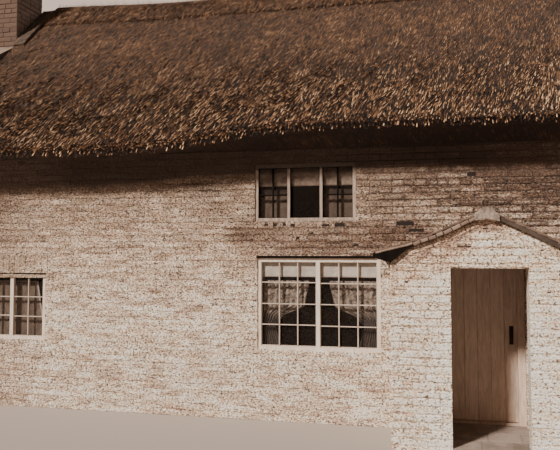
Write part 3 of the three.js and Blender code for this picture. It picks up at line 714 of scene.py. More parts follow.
def block(place, size, turn=(0.0, 0.0, 0.0), tone=0.0, **more):
    return {"place": place, "size": size, "turn": turn, "tone": tone, **more}


def setOut(rows, blank, material, uneven=0.0, grain=20.0):
    mesh = bpy.data.meshes.new("points")
    mesh.from_pydata([row["place"] for row in rows], [], [])
    for key in ("size", "turn"):
        layer = mesh.attributes.new(key, "FLOAT_VECTOR", "POINT")
        layer.data.foreach_set("vector", [value for row in rows for value in row[key]])
    for key in ("tone", "scar"):
        layer = mesh.attributes.new(key, "FLOAT", "POINT")
        layer.data.foreach_set("value", [row.get(key, 0.0) for row in rows])
    values = {"Blank": blank, "Uneven": uneven, "Grain": grain, "Material": material}
    return growMesh(mesh, setOutTree, values)


# The outer faces that bricks and windows are set out on: where U is 0, and which way the face looks
wallSides = {
    "front": {"origin": (0.0, -2.6), "angle": 0},
    "rear": {"origin": (0.0, 2.6), "angle": 180},
    "rightGable": {"origin": (5.5, 0.0), "angle": 90},
    "leftGable": {"origin": (-5.5, 0.0), "angle": -90},
}


def onWall(wall, u, depth, z):
    x, y = wall["origin"]
    angle = math.radians(wall["angle"])
    return (
        x + u * math.cos(angle) - depth * math.sin(angle),
        y + u * math.sin(angle) + depth * math.cos(angle), z)


# Brickwork: three rows of stretchers between header courses, on an old 76 mm gauge
brickSizes = {
    "gauge": 0.0762,
    "stretcher": 0.249,
    "header": 0.1245,
    "headerEvery": 4,
    "bed": 0.010,
    "thickBed": 0.0015,
    "gap": 0.004,                        # widest gap at the ends of a brick
    "thickGap": 0.0004,
    "leastGap": 0.0002,
    "gapFrom": -0.006,
    "narrowest": 0.12,                   # a course that is shorter than this isn't laid
    "touch": 0.003,
    "proud": 0.007,
    "sunk": 0.030,
    "shortest": 0.06,
    "least": 0.018,                      # lowest strip of a course over or under an opening
    "proudLuck": (-0.004, 0.003),
    "heightLuck": (-0.0025, 0.0025),
    "jointLuck": (-0.006, 0.006),
    "turnLuck": (0.02, 0.008, 0.008),
    "soldierGap": (0.0005, 0.003),
}
frontBlank = makeBlank("frontBlank", 4, 2, 0.003, 0.008)
thickBlank = makeBlank("thickBlank", 5, 2, 0.0005, 0.003, levelOnly=True)     # a brick under thick wash
plainBlank = makeBlank("plainBlank", 2, 1, 0.004, 0.008)
stackBlank = makeBlank("stackBlank", 2, 1, 0.006)


def sway(dice, reach):
    return dice.uniform(-reach, reach)


def cutSpans(low, high, holes):
    spans = [(low, high)]
    for start, end in holes:
        spans = [
            piece for a, b in spans
            for piece in ((a, min(b, start)), (max(a, end), b)) if piece[1] - piece[0] > 0.02]
    return spans


def layBricks(rows, wall, seed):
    dice = random.Random(seed)
    gauge, shortest, least = (brickSizes[key] for key in ("gauge", "shortest", "least"))
    angle = math.radians(wall["angle"])
    edges = wall.get("edges", lambda z: wall["u"])
    isThick = wall.get("thickWash", lambda u, z: False)

    def addBrick(a, b, low, high, luck):
        middle, rise = (a + b) / 2, (low + high) / 2
        proud = brickSizes["proud"] + dice.uniform(*brickSizes["proudLuck"])
        depth = (brickSizes["sunk"] - proud) / 2
        thickWash = isThick(middle, rise)
        bed = brickSizes["thickBed" if thickWash else "bed"]
        size = (b - a, brickSizes["sunk"] + proud, high - low - bed + dice.uniform(*brickSizes["heightLuck"]))
        turnX, turnY, turnZ = (sway(dice, reach) for reach in brickSizes["turnLuck"])
        place = onWall(wall, middle, depth, rise)
        rows.append(block(place, size, (turnX, turnY, angle + turnZ), luck, thickWash=thickWash))

    def layRun(a, b, low, high, pitch, shift):
        first = math.ceil((a - shift) / pitch)
        joints = [a]
        for k in range(first, first + int((b - a) / pitch) + 2):
            spot = shift + k * pitch + dice.uniform(*brickSizes["jointLuck"])
            if spot - joints[-1] > shortest and b - spot > shortest:
                joints.append(spot)
        joints.append(b)
        for left, right in zip(joints, joints[1:]):
            widest = brickSizes["thickGap" if isThick((left + right) / 2, (low + high) / 2) else "gap"]
            gapLeft, gapRight = (
                0.0 if isEnd else max(brickSizes["leastGap"], dice.uniform(brickSizes["gapFrom"], widest))
                for isEnd in (left == a, right == b))
            addBrick(left + gapLeft, right - gapRight, low, high, dice.random())

    low, top = wall["z"]
    course = 0
    while low + gauge * 0.5 < top:
        high = min(low + gauge, top)
        left, right = edges(high)
        if right - left > brickSizes["narrowest"]:
            isHeader = course % brickSizes["headerEvery"] == 3
            pitch = brickSizes["header" if isHeader else "stretcher"]
            shift = sway(dice, 0.02) + (course % 2) * brickSizes["header"]
            holes, touch = wall.get("holes", ()), brickSizes["touch"]
            crossed = [hole for hole in holes if hole[2] < high - touch and hole[3] > low + touch]
            for a, b in cutSpans(left, right, [hole[:2] for hole in crossed]):
                layRun(a, b, low, high, pitch, shift)
            for holeLeft, holeRight, holeLow, holeHigh in crossed:
                a, b = max(left, holeLeft), min(right, holeRight)
                if holeLow - low > least:
                    layRun(a, b, low, holeLow, pitch, shift)
                if high - holeHigh > least:
                    layRun(a, b, holeHigh, high, pitch, shift)
        low += gauge
        course += 1
    for left, right, bottom, high in wall.get("sunken", ()):
        # a dark brick, or a hole painted near-black for its shade, that stands back from the face
        spot = onWall(wall, (left + right) / 2, brickSizes["sunk"] / 2 - 0.001, (bottom + high) / 2)
        size = (right - left, brickSizes["sunk"] + 0.002, high - bottom)
        rows.append(block(spot, size, (0.0, 0.0, angle), 0.2, scar=1.0))
    for left, right, bottom, high in wall.get("soldiers", ()):
        count = round((right - left) / gauge)
        width = (right - left) / count
        for k in range(count):
            a = left + k * width
            gap = dice.uniform(*brickSizes["soldierGap"])
            addBrick(a + gap, a + width - gap, bottom, high, dice.random())


# Windows, as in the CAD: middle, width, sill, head, the wood round and between the lights, each light's bars
lowWindow = {
    "wall": "front", "width": 0.96, "sill": 0.83, "head": 1.65, "face": 0.042, "mullion": 0.046,
    "bars": [(2, 3), (2, 3)], "split": 0.5, "isDark": False}
highWindow = {
    "wall": "front", "width": 1.188, "sill": 2.29, "head": 2.95, "face": 0.038, "mullion": 0.032,
    "bars": [(2, 2), (1, 1), (2, 2)], "split": 0.46, "isDark": True}
mainMiddle = -0.364
windows = {
    "left": {**lowWindow, "at": -4.31},
    "main": {
        **lowWindow, "at": mainMiddle, "width": 1.426, "sill": 0.812, "head": 1.86, "bars": [(3, 4), (3, 4)]},
    "upper": {**highWindow, "at": -0.516},
    "right": {**lowWindow, "at": 4.31},
    "rear_left": {**lowWindow, "at": 2.9, "wall": "rear"},
    "rear_right": {**lowWindow, "at": -2.9, "wall": "rear"},
    "rear_upper": {**highWindow, "at": 0.0, "wall": "rear"},
    "gable": {**lowWindow, "at": 0.0, "width": 0.8, "sill": 2.98, "head": 3.74, "wall": "rightGable"},
}
windowSizes = {
    "setback": 0.010, "upright": 0.0135, "level": 0.0115, "bead": 0.006,
    "darkBars": 1.45,                    # so much wider than the others
}


def windowHole(name):
    w = windows[name]
    return (w["at"] - w["width"] / 2, w["at"] + w["width"] / 2, w["sill"], w["head"])


def soldiersOver(name):
    left, right, _, head = windowHole(name)
    return (left - 0.10, right + 0.10, head + 0.008, head + 0.008 + 0.225)


# Openings: left, right, foot and head; the doorway and the walls of the porch count as such in the front wall
frontHoles = [windowHole(name) for name in ("left", "main", "upper", "right")]
frontHoles += [(1.043, 1.883, 0.0, 1.88), (0.534, 0.764, 0.0, 1.84), (2.134, 2.364, 0.0, 1.84)]
frontSoldiers = [soldiersOver("left"), soldiersOver("right")]
rearHoles = [windowHole(name) for name in ("rear_left", "rear_right", "rear_upper")]
rearSoldiers = [soldiersOver("rear_left"), soldiersOver("rear_right")]
leftGableHoles = [(-0.29, 1.3, 0.0, 4.95), (0.16, 0.85, 4.9, 5.4)]          # where the chimney stands

# Single dark bricks that stand back from the face
frontSunken = [(0.530, 0.723, 2.228, 2.285), (0.664, 0.831, 2.156, 2.202), (1.30, 1.395, 2.760, 2.820)]
# Holes in the joints and small broken ends under the upper window and over the main one
frontSunken += [
    (-0.99, -0.95, 2.232, 2.272), (-0.892, -0.845, 2.226, 2.270), (-0.775, -0.735, 2.230, 2.272),
    (-0.682, -0.630, 2.222, 2.266), (-0.310, -0.225, 2.222, 2.258), (-0.165, -0.052, 2.218, 2.266),
    (0.045, 0.105, 1.995, 2.030), (-0.62, -0.575, 2.075, 2.110), (-0.47, -0.41, 2.13, 2.155)]
# Left of a wandering line at this X the wash lies thick and hides most joints; higher up the line leans left
thickWashLine = {"x": 1.0, "wander": 1.3, "leansFrom": 1.9, "lean": 0.9}
gableSizes = {"half": 2.6, "eave": 3.13, "slope": 0.8636, "top": 5.33}


def isThickWash(u, z):
    wander = noise.noise(Vector((u * 0.9, z * 1.6, 4.0))) + 0.5 * noise.noise(Vector((u * 4.0, z * 9.0, 8.0)))
    lean = max(0.0, z - thickWashLine["leansFrom"]) * thickWashLine["lean"]
    return u + wander * thickWashLine["wander"] < thickWashLine["x"] - lean


def gableEdges(z):
    # under the slope of the thatch
    half = gableSizes["half"] - max(0.0, z - gableSizes["eave"]) / gableSizes["slope"]
    return (-half, half)


def buildWalls():
    front, rear, right, left = [], [], [], []
    long = {"u": (-5.505, 5.505), "z": (0.0, 3.125)}
    gable = {"z": (0.0, gableSizes["top"]), "edges": gableEdges}
    layBricks(front, {
        **wallSides["front"], **long, "holes": frontHoles + frontSoldiers + frontSunken,
        "soldiers": frontSoldiers, "sunken": frontSunken, "thickWash": isThickWash}, 11)
    layBricks(rear, {
        **wallSides["rear"], **long, "holes": rearHoles + rearSoldiers, "soldiers": rearSoldiers}, 12)
    layBricks(right, {**wallSides["rightGable"], **gable, "holes": [windowHole("gable")]}, 13)
    layBricks(left, {**wallSides["leftGable"], **gable, "holes": leftGableHoles}, 14)
    thick = [row for row in front if row.get("thickWash")]
    plain = [row for row in front if not row.get("thickWash")]
    for name, rows, blank, wash, uneven, grain in (
            ("front_bricks", plain, frontBlank, frontWash, 0.009, 9.0),
            ("front_thick_bricks", thick, thickBlank, frontWash, 0.013, 11.0),
            ("rear_bricks", rear, plainBlank, rearWash, 0.008, 9.0),
            ("right_gable_bricks", right, plainBlank, sideWash, 0.008, 9.0),
            ("left_gable_bricks", left, plainBlank, sideWash, 0.008, 9.0)):
        newPiece(name, setOut(rows, blank, wash, uneven, grain))
    print("walls laid:", len(front) + len(rear) + len(right) + len(left), "bricks")


# Chimney: breast, shoulders, stack and an oversailing cap; it stands just in front of the ridge
stackSizes = {
    "x": (-6.35, -5.5), "breast": (-1.3, 0.29), "stack": (-0.85, -0.16), "shoulder": (4.9, 5.16), "top": 6.95,
    "tiers": (0.03, 0.06, 0.02), "tier": 0.0767, "roofLine": 5.1,
}


def breastEdges(z):
    low, high = stackSizes["shoulder"]
    lean = min(1.0, max(0.0, (z - low) / (high - low)))
    front, rear = (a + (b - a) * lean for a, b in zip(stackSizes["breast"], stackSizes["stack"]))
    return (-rear, -front)


def layRound(rows, x, y, band, faceNames, seed):
    # bricks on the upright faces of a block: -Y front, +Y rear, -X left, +X right
    (left, right), (front, rear) = x, y
    faces = {
        "front": ((0.0, front), 0, (left - 0.005, right + 0.005)),
        "rear": ((0.0, rear), 180, (-right - 0.005, -left + 0.005)),
        "left": ((left, 0.0), -90, (-rear, -front)),
        "right": ((right, 0.0), 90, (front, rear))}
    for k, faceName in enumerate(faceNames):
        origin, angle, span = faces[faceName]
        layBricks(rows, {"origin": origin, "angle": angle, "u": span, "z": band}, seed + k)


def buildChimney():
    rows = []
    x, breast, stack = stackSizes["x"], stackSizes["breast"], stackSizes["stack"]
    foot, shoulder = stackSizes["shoulder"]
    top, tier = stackSizes["top"], stackSizes["tier"]
    layBricks(rows, {"origin": (x[0], 0.0), "angle": -90, "z": (0.0, top), "edges": breastEdges}, 21)
    layRound(rows, (x[0], x[1] - 0.005), breast, (0.0, foot), ("front", "rear"), 22)
    layRound(rows, x, stack, (shoulder, top), ("front", "rear"), 24)
    layRound(rows, x, stack, (stackSizes["roofLine"], top), ("right",), 26)
    for k, reach in enumerate(stackSizes["tiers"]):
        low = top + k * tier
        layRound(
            rows, (x[0] - reach, x[1] + reach), (stack[0] - reach, stack[1] + reach), (low, low + tier),
            ("front", "rear", "left", "right"), 31 + 4 * k)
    newPiece("stack_bricks", setOut(rows, stackBlank, stackBrick, 0.008, 9.0))
    print("chimney laid:", len(rows), "bricks")


# Porch: its two slopes, given as X and Z from the peak down, and its doorway
porchSizes = {
    "front": -3.54, "left": 0.534, "right": 2.364, "back": -2.6, "door": (1.105, 1.822, 0.0, 1.79),
    "leftLine": [(1.449, 2.297), (1.05, 2.112), (0.704, 1.98), (0.534, 1.84)],
    "rightLine": [(1.449, 2.297), (1.83, 2.115), (2.106, 1.975), (2.364, 1.852)],
    "eaveLeft": (0.362, 1.892), "eaveRight": (2.532, 1.790), "slopesFrom": 1.76,
    "slab": 0.042, "verge": 0.04, "band": 0.075,
}
# Open joints and dark brick ends under the peak and down the left edge
porchSunken = [
    (1.165, 1.305, 1.984, 2.008), (0.824, 0.888, 1.880, 1.900), (0.665, 0.702, 1.640, 1.665),
    (0.548, 0.685, 1.570, 1.586), (1.405, 1.462, 2.158, 2.184)]


def lineCross(line, z):
    for (x0, z0), (x1, z1) in zip(line, line[1:]):
        if z0 >= z >= z1:
            return x0 + (x1 - x0) * (z0 - z) / (z0 - z1)
    return line[-1][0] if z < line[-1][1] else line[0][0]


def porchEdges(z):
    if z <= porchSizes["slopesFrom"]:
        return (porchSizes["left"], porchSizes["right"])
    lift = z + porchSizes["band"] * 1.1
    return (lineCross(porchSizes["leftLine"], lift), lineCross(porchSizes["rightLine"], lift))


def downSlope(line, pitch):
    # the middles of even lengths down a line, each with its length, its lean and the way out of the slope
    for (x0, z0), (x1, z1) in zip(line, line[1:]):
        start, run = Vector((x0, 0.0, z0)), Vector((x1 - x0, 0.0, z1 - z0))
        count = max(1, round(run.length / pitch))
        lean = -math.atan2(z1 - z0, x1 - x0) if x1 > x0 else -math.atan2(z0 - z1, x0 - x1)
        out = Vector((-run.z, 0.0, run.x)) * ((1.0 if x1 > x0 else -1.0) / run.length)
        for k in range(count):
            yield start + run * ((k + 0.5) / count), run.length / count, lean, out


def layVergeCourse(rows, line, dice):
    # a sloping course of bricks under the tiles
    band = porchSizes["band"]
    for middle, length, lean, _ in downSlope(line, 0.118):
        rows.append(block(
            (middle.x, porchSizes["front"] + 0.0125, middle.z - band * 0.56),
            (length - dice.uniform(0.002, 0.007), 0.036, band * 0.9),
            (0.0, lean + sway(dice, 0.02), 0.0), dice.random()))


def buildPorchWalls():
    rows = []
    front, back, left, right = (porchSizes[key] for key in ("front", "back", "left", "right"))
    layBricks(rows, {
        "origin": (0.0, front), "angle": 0, "z": (0.0, 2.22), "edges": porchEdges,
        "holes": [porchSizes["door"], *porchSunken], "sunken": porchSunken}, 51)
    dice = random.Random(52)
    layVergeCourse(rows, porchSizes["leftLine"][:3], dice)
    layVergeCourse(rows, porchSizes["rightLine"], dice)
    layBricks(rows, {"origin": (left, 0.0), "angle": -90, "u": (-back, 0.005 - front), "z": (0.0, 1.835)}, 53)
    layBricks(rows, {"origin": (right, 0.0), "angle": 90, "u": (front - 0.005, back), "z": (0.0, 1.845)}, 54)
    newPiece("porch_bricks", setOut(rows, frontBlank, porchWash, 0.009, 9.0))
    print("porch laid:", len(rows), "bricks")


# Porch roof: plain tiles on each slope
tileSizes = {"width": 0.166, "length": 0.20, "gauge": 0.105, "thick": 0.013, "tilt": 0.07}
tileBlank = makeBlank("tileBlank", 1, 1, 0.003)


def walkDown(points, travel):
    # the spot so far down a line, and the way the line runs there
    for a, b in zip(points, points[1:]):
        length = (b - a).length
        if travel <= length or b is points[-1]:
            way = (b - a) / length
            return a + way * travel, way
        travel -= length


def buildPorchTiles():
    dice = random.Random(61)
    rows = []
    verge, back = porchSizes["front"] - porchSizes["verge"], porchSizes["back"]
    thick, gauge, tilt = tileSizes["thick"], tileSizes["gauge"], tileSizes["tilt"]
    for side, line, eave in ((-1, "leftLine", "eaveLeft"), (1, "rightLine", "eaveRight")):
        points = [Vector((x, 0.0, z)) for x, z in (*porchSizes[line][:3], porchSizes[eave])]
        total = sum((b - a).length for a, b in zip(points, points[1:]))
        for course in range(int((total - 0.10) / gauge) + 1):
            travel = total - tileSizes["length"] / 2 - course * gauge + 0.004
            if travel < 0.14:
                break
            spot, way = walkDown(points, travel)
            normal = Vector((-way.z * side, 0.0, abs(way.x)))
            base = spot + normal * (porchSizes["slab"] * 0.92 + thick * 0.9)
            edges = [verge - 0.004]
            while edges[-1] < back:
                step = tileSizes["width"] * (0.5 if len(edges) == 1 and course % 2 else 1.0)
                edges.append(min(back, edges[-1] + step))
            for start, end in zip(edges, edges[1:]):
                if end - start < 0.03:
                    continue
                size = (end - start - dice.uniform(0.001, 0.005), thick, tileSizes["length"])
                rows.append(block(
                    (base.x, (start + end) / 2, base.z), size, tone=dice.random(), way=way, normal=normal))
    for row in rows:
        # the blank's front (-Y) faces the sky, its height runs down the slope
        tilted = (row["normal"] + row["way"] * -tilt).normalized()
        up = (-row["way"] + row["normal"] * -tilt).normalized()
        across = (-tilted).cross(up).normalized()
        turn = Matrix((across, -tilted, up)).transposed().to_euler("XYZ")
        row["turn"] = tuple(angle + sway(dice, 0.012) for angle in turn)
    newPiece("porch_tiles", setOut(rows, tileBlank, tileClay, 0.004, 12.0))


def buildPorchVerge():
    # brick ends bedded along the front edge of the left slope, then the ends of the tiles' bedding
    dice = random.Random(65)
    rows = []
    y, slab = porchSizes["front"] - porchSizes["verge"] - 0.001, porchSizes["slab"]
    for spot, length, lean, out in downSlope([(1.37, 2.261), (1.05, 2.112), (0.76, 2.001)], 0.085):
        spot = spot + out * (slab * 0.5 - dice.uniform(0.002, 0.009))
        rows.append(block(
            (spot.x, y, spot.z),
            (length - dice.uniform(0.001, 0.009), 0.028, 0.040 - dice.uniform(0.0, 0.008)),
            (0.0, lean + sway(dice, 0.05), sway(dice, 0.03)), dice.random()))
    for spot, length, lean, out in downSlope([(0.76, 2.001), (0.704, 1.98), (0.395, 1.905)], 0.06):
        spot = spot + out * (slab * 0.74)
        size = (length, 0.024, 0.021)
        rows.append(block((spot.x, y, spot.z), size, (0.0, lean, 0.0), dice.uniform(0.5, 1.0)))
    newPiece("porch_verge", setOut(rows, frontBlank, vergeBrick, 0.010, 14.0))


# Mortar: the cap along the porch's ridge and the fillet beside the stack, both rough from the trowel
mortarSizes = {
    "ridge_mortar": {"node": "porch_ridge", "voxel": 0.010, "rough": 0.010, "material": ridgeMortar},
    "fillet_mortar": {"node": "chimney_fillet", "voxel": 0.014, "rough": 0.016, "material": filletMortar},
}


def buildMortar():
    for pieceName, mortar in mortarSizes.items():
        lump = placeObject("lump", nodes[mortar["node"]].data.copy())
        lump.modifiers.new("weld", "WELD").merge_threshold = 0.0001
        lump.modifiers.new("remesh", "REMESH").voxel_size = mortar["voxel"]
        mesh = finishedMesh(lump)
        mesh.materials.clear()
        mesh.materials.append(mortar["material"])
        rough = mortar["rough"]
        moves = []
        for vertex in mesh.vertices:
            large, small = noise.noise(vertex.co * 14.0), noise.noise(vertex.co * 40.0)
            moves.append(vertex.normal * (rough * large + rough * 0.5 * small))
        for vertex, move in zip(mesh.vertices, moves):
            vertex.co += move
        newPiece(pieceName, mesh, [mortar["node"]])
    print("mortar spread")


# Floors: flags laid in rows, their joints broken from row to row
flagBlank = makeBlank("flagBlank", 2, 2, 0.006)
flagSizes = {
    "porch_flags": {
        "x": (0.768, 2.130), "y": (-3.536, -2.504), "z": (0.060, 0.074), "size": 0.34, "seed": 66},
    "ground_flags": {
        "x": (-5.14, 5.14), "y": (-2.24, 2.24), "z": (0.070, 0.083), "size": 0.56, "seed": 67},
}
flagJoint = 0.008


def buildFloors():
    for name, area in flagSizes.items():
        dice = random.Random(area["seed"])
        rows = []
        (left, right), (front, rear), (low, top) = area["x"], area["y"], area["z"]
        count = round((rear - front) / area["size"])
        deep = (rear - front) / count
        for j in range(count):
            joints = [left]
            while right - joints[-1] > area["size"] * 0.7:
                joints.append(min(right, joints[-1] + area["size"] * dice.uniform(0.75, 1.35)))
            joints[-1] = right
            for a, b in zip(joints, joints[1:]):
                place = ((a + b) / 2, front + deep * (j + 0.5), (low + top) / 2 - dice.uniform(0.0, 0.002))
                size = (b - a - flagJoint, top - low, deep - flagJoint)
                rows.append(block(place, size, (-math.pi / 2, 0.0, 0.0), dice.random()))
        newPiece(name, setOut(rows, flagBlank, flagStone, 0.003, 6.0))
    print("floors flagged")


# Door leaf: five boards on three ledges; and the near-black board over the main window
boardBlank = makeBlank("boardBlank", 1, 6, 0.004)
hoodBlank = makeBlank("hoodBlank", 16, 1, 0.002)
doorSizes = {
    "x": (1.109, 1.817), "z": (0.096, 1.814),
    "boards": (-2.445, -2.421), "count": 5, "boardGap": 0.0015,
    "ledges": (-2.422, -2.401), "ledgeAt": (0.38, 0.95, 1.52), "ledgeHeight": 0.11, "ledgeShort": 0.05,
}
hoodBoard = {"place": (-0.3975, -2.605, 1.8755), "size": (1.385, 0.018, 0.029)}


def buildDoor():
    dice = random.Random(68)
    rows = []
    (left, right), (low, high) = doorSizes["x"], doorSizes["z"]
    front, back = doorSizes["boards"]
    width = (right - left) / doorSizes["count"]
    for k in range(doorSizes["count"]):
        rows.append(block(
            (left + width * (k + 0.5), (front + back) / 2, (low + high) / 2),
            (width - doorSizes["boardGap"], back - front, high - low), tone=dice.random()))
    front, back = doorSizes["ledges"]
    size = (right - left - doorSizes["ledgeShort"], back - front, doorSizes["ledgeHeight"])
    for z in doorSizes["ledgeAt"]:
        rows.append(block(((left + right) / 2, (front + back) / 2, z), size, tone=dice.random()))
    hood = setOut([block(**hoodBoard)], hoodBlank, blackWood, 0.006, 12.0)
    newPiece("main_hood_board", hood, ["main_window_hood"])
    newPiece("door_boards", setOut(rows, boardBlank, doorWood), ["front_door"], "door")
    print("door boarded")


# Thatch: a coat of straw strands laid down each slope, thicker towards the drip edge and at the verges
thatchSizes = {
    "pitch": 40.8,
    "strand": 0.19,
    "width": 0.012,
    "eavePerMetre": 2500.0,
    "dripPerMetre": 3200.0,
    "vergePerMetre": 1300.0,
    "rearEave": 0.35,                    # of the front's straw along the eave
    "thicken": (1.7, 2.8),               # the straw gets thicker from this far out to that far
    "long": (0.72, 0.86, 0.50),          # how long it is up the slope, at the eave and on the drip edge
    "shag": (1.0, 2.9, 0.40, 1.0),       # and looser
}
frontStraw = {"node": "thatch_front", "perMetre": 800.0, "Stray": 0.12, "Lift": 0.13, "Wide": 1.0}
straws = {
    "front_straw_left": {**frontStraw, "half": -1, "Seed": 3},
    "front_straw_right": {**frontStraw, "half": 1, "Seed": 4},
    "rear_straw": {
        "node": "thatch_rear", "perMetre": 300.0, "Seed": 5, "Stray": 0.20, "Lift": 0.18, "Wide": 1.1},
    "ridge_straw": {
        "node": "thatch_ridge", "perMetre": 1500.0, "Seed": 8, "Stray": 0.22, "Lift": 0.12, "Wide": 1.4},
}


def makeStrandBlank():
    # a long spike along X: fine at its buried end, cut square at its foot
    width, length = thatchSizes["width"] / 2, thatchSizes["strand"]
    root, foot = -0.55 * length, 0.45 * length
    points = [
        (root, 0.0, 0.0), (foot, -width, -width * 0.6), (foot, width, -width * 0.6),
        (foot - 0.03 * length, 0.0, width)]
    mesh = bpy.data.meshes.new("strand")
    mesh.from_pydata(points, [], [(0, 2, 1), (0, 3, 2), (0, 1, 3), (1, 2, 3)])
    return hiddenObject("strand", mesh)


def makeStrawTree():
    tree, start = makeTree("layStraw", {
        "Strand": "Object", "Seed": "Int", "Stray": "Float", "Lift": "Float", "Wide": "Float"})
    seed = start["Seed"]
    strand = addNode(tree, "GeometryNodeObjectInfo", {"Object": start["Strand"]}).outputs["Geometry"]
    grow, fall, long = named(tree, "grow"), named(tree, "fall", "FLOAT_VECTOR"), named(tree, "long")
    ground = addNode(tree, "GeometryNodeSubdivideMesh", {"Mesh": start["Geometry"], "Level": 2})
    spread = addNode(tree, "GeometryNodeDistributePointsOnFaces", {
        "Mesh": ground.outputs["Mesh"], "Density": grow, "Seed": seed}).outputs
    stray = addNode(tree, "FunctionNodeRandomValue", {
        0: (-1, -1, -1), 1: (1, 1, 1), "Seed": seed}, data_type="FLOAT_VECTOR").outputs[0]
    out = splitAxes(tree, addNode(tree, "GeometryNodeInputPosition").outputs["Position"])["Y"]
    # straw is also finer where it lies close
    shag = stretch(tree, maths(tree, "ABSOLUTE", out), *thatchSizes["shag"])
    swerve = scaled(tree, scaled(tree, stray, start["Stray"]), shag)
    tufts = addNode(tree, "ShaderNodeTexNoise", {"Scale": 5.0, "Detail": 3.0}).outputs["Fac"]
    height = times(tree, tufts, chance(tree, 0.1, 1.0, seed))
    for factor in (start["Lift"], shag, 2.0):
        height = times(tree, height, factor)
    rise = scaled(tree, spread["Normal"], height)
    way = vectors(tree, "ADD", vectors(tree, "ADD", fall, swerve), rise)
    facing = addNode(tree, "FunctionNodeAlignRotationToVector", {"Vector": way}, axis="X").outputs["Rotation"]
    reach = times(tree, chance(tree, 0.6, 1.3, seed), long)
    toneSeed = plus(tree, seed, 7.0)
    wide = times(tree, times(tree, chance(tree, 0.7, 1.2, toneSeed), start["Wide"]), shag)
    size = addNode(tree, "ShaderNodeCombineXYZ", {"X": reach, "Y": wide, "Z": wide}).outputs["Vector"]
    placed = addNode(tree, "GeometryNodeInstanceOnPoints", {
        "Points": spread["Points"], "Instance": strand, "Rotation": facing, "Scale": size})
    toned = addNode(tree, "GeometryNodeStoreNamedAttribute", {
        "Geometry": placed.outputs["Instances"], "Name": "tone", "Value": chance(tree, 0.0, 1.0, toneSeed)},
        data_type="FLOAT", domain="INSTANCE")
    return endTree(tree, realized(tree, toned.outputs["Geometry"]), start["Material"])


def strawGround(straw):
    # a copy of the CAD thatch that says how thick straw grows, how long it is and which way it falls
    mesh = nodes[straw["node"]].data.copy()
    mesh.materials.clear()
    isRidge, half = straw["node"] == "thatch_ridge", straw.get("half", 0)
    share = thatchSizes["rearEave"] if straw["node"] == "thatch_rear" else 1.0
    drip, verge, eave = (thatchSizes[key] for key in ("dripPerMetre", "vergePerMetre", "eavePerMetre"))
    longUp, longEave, longDrip = thatchSizes["long"]
    near, far = thatchSizes["thicken"]
    pitch = math.radians(thatchSizes["pitch"])
    grow, fall, long = [], [], []
    for face in mesh.polygons:
        normal, centre = face.normal, face.center
        side, out = (-1.0 if centre.y < 0 else 1.0), abs(centre.y)
        way = Vector((0.0, 0.0, -1.0)) + normal * normal.z
        way = way.normalized() + Vector((-strawColors["comb"] * 0.76, 0.0, 0.0))
        ends = None
        if centre.x < -5.45 and abs(normal.x) < 0.3 and abs(normal.z) < 0.3 and out < 2.0:
            ends = (0.0, longUp)     # the notches round the stack
        elif abs(normal.x) > 0.7:
            way = Vector((0.0, side * math.cos(pitch), -math.sin(pitch)))
            ends = (0.0 if abs(centre.x) < 5.6 else verge, longEave)
        elif normal.z < -0.2:
            way = Vector((0.0, side * 0.5, -0.87))
            ends = (verge if out > 3.0 else 0.0, longDrip)
        elif out > 2.99 or normal.z < 0.5:
            way = way.normalized() + Vector((0.0, side * 0.25, 0.0))
            ends = (drip * share, longDrip)
        isOther = (half < 0 and centre.x >= 0.0) or (half > 0 and centre.x < 0.0)
        if isOther or (isRidge and normal.z < 0.0):
            ends = (0.0, longUp)
        fall.extend(way.normalized())
        for corner in face.vertices:
            low = min(1.0, max(0.0, (abs(mesh.vertices[corner].co.y) - near) / (far - near)))
            thick = straw["perMetre"] + (eave * share - straw["perMetre"]) * low
            reach = 1.0 if isRidge else longUp + (longEave - longUp) * low
            thick, reach = ends or (thick, reach)
            grow.append(thick)
            long.append(reach)
    mesh.attributes.new("grow", "FLOAT", "CORNER").data.foreach_set("value", grow)
    mesh.attributes.new("fall", "FLOAT_VECTOR", "FACE").data.foreach_set("vector", fall)
    mesh.attributes.new("long", "FLOAT", "CORNER").data.foreach_set("value", long)
    return mesh


def buildThatch():
    strand = makeStrandBlank()
    tree = makeStrawTree()
    for pieceName, straw in straws.items():
        mesh = growMesh(strawGround(straw), tree, {**straw, "Strand": strand, "Material": strawStrand})
        newPiece(pieceName, mesh)
        print(pieceName, len(mesh.polygons), "faces")
    bpy.data.objects.remove(strand)


# Window bars, beads and panes
barBlank = makeBlank("barBlank", 1, 1, 0.003)


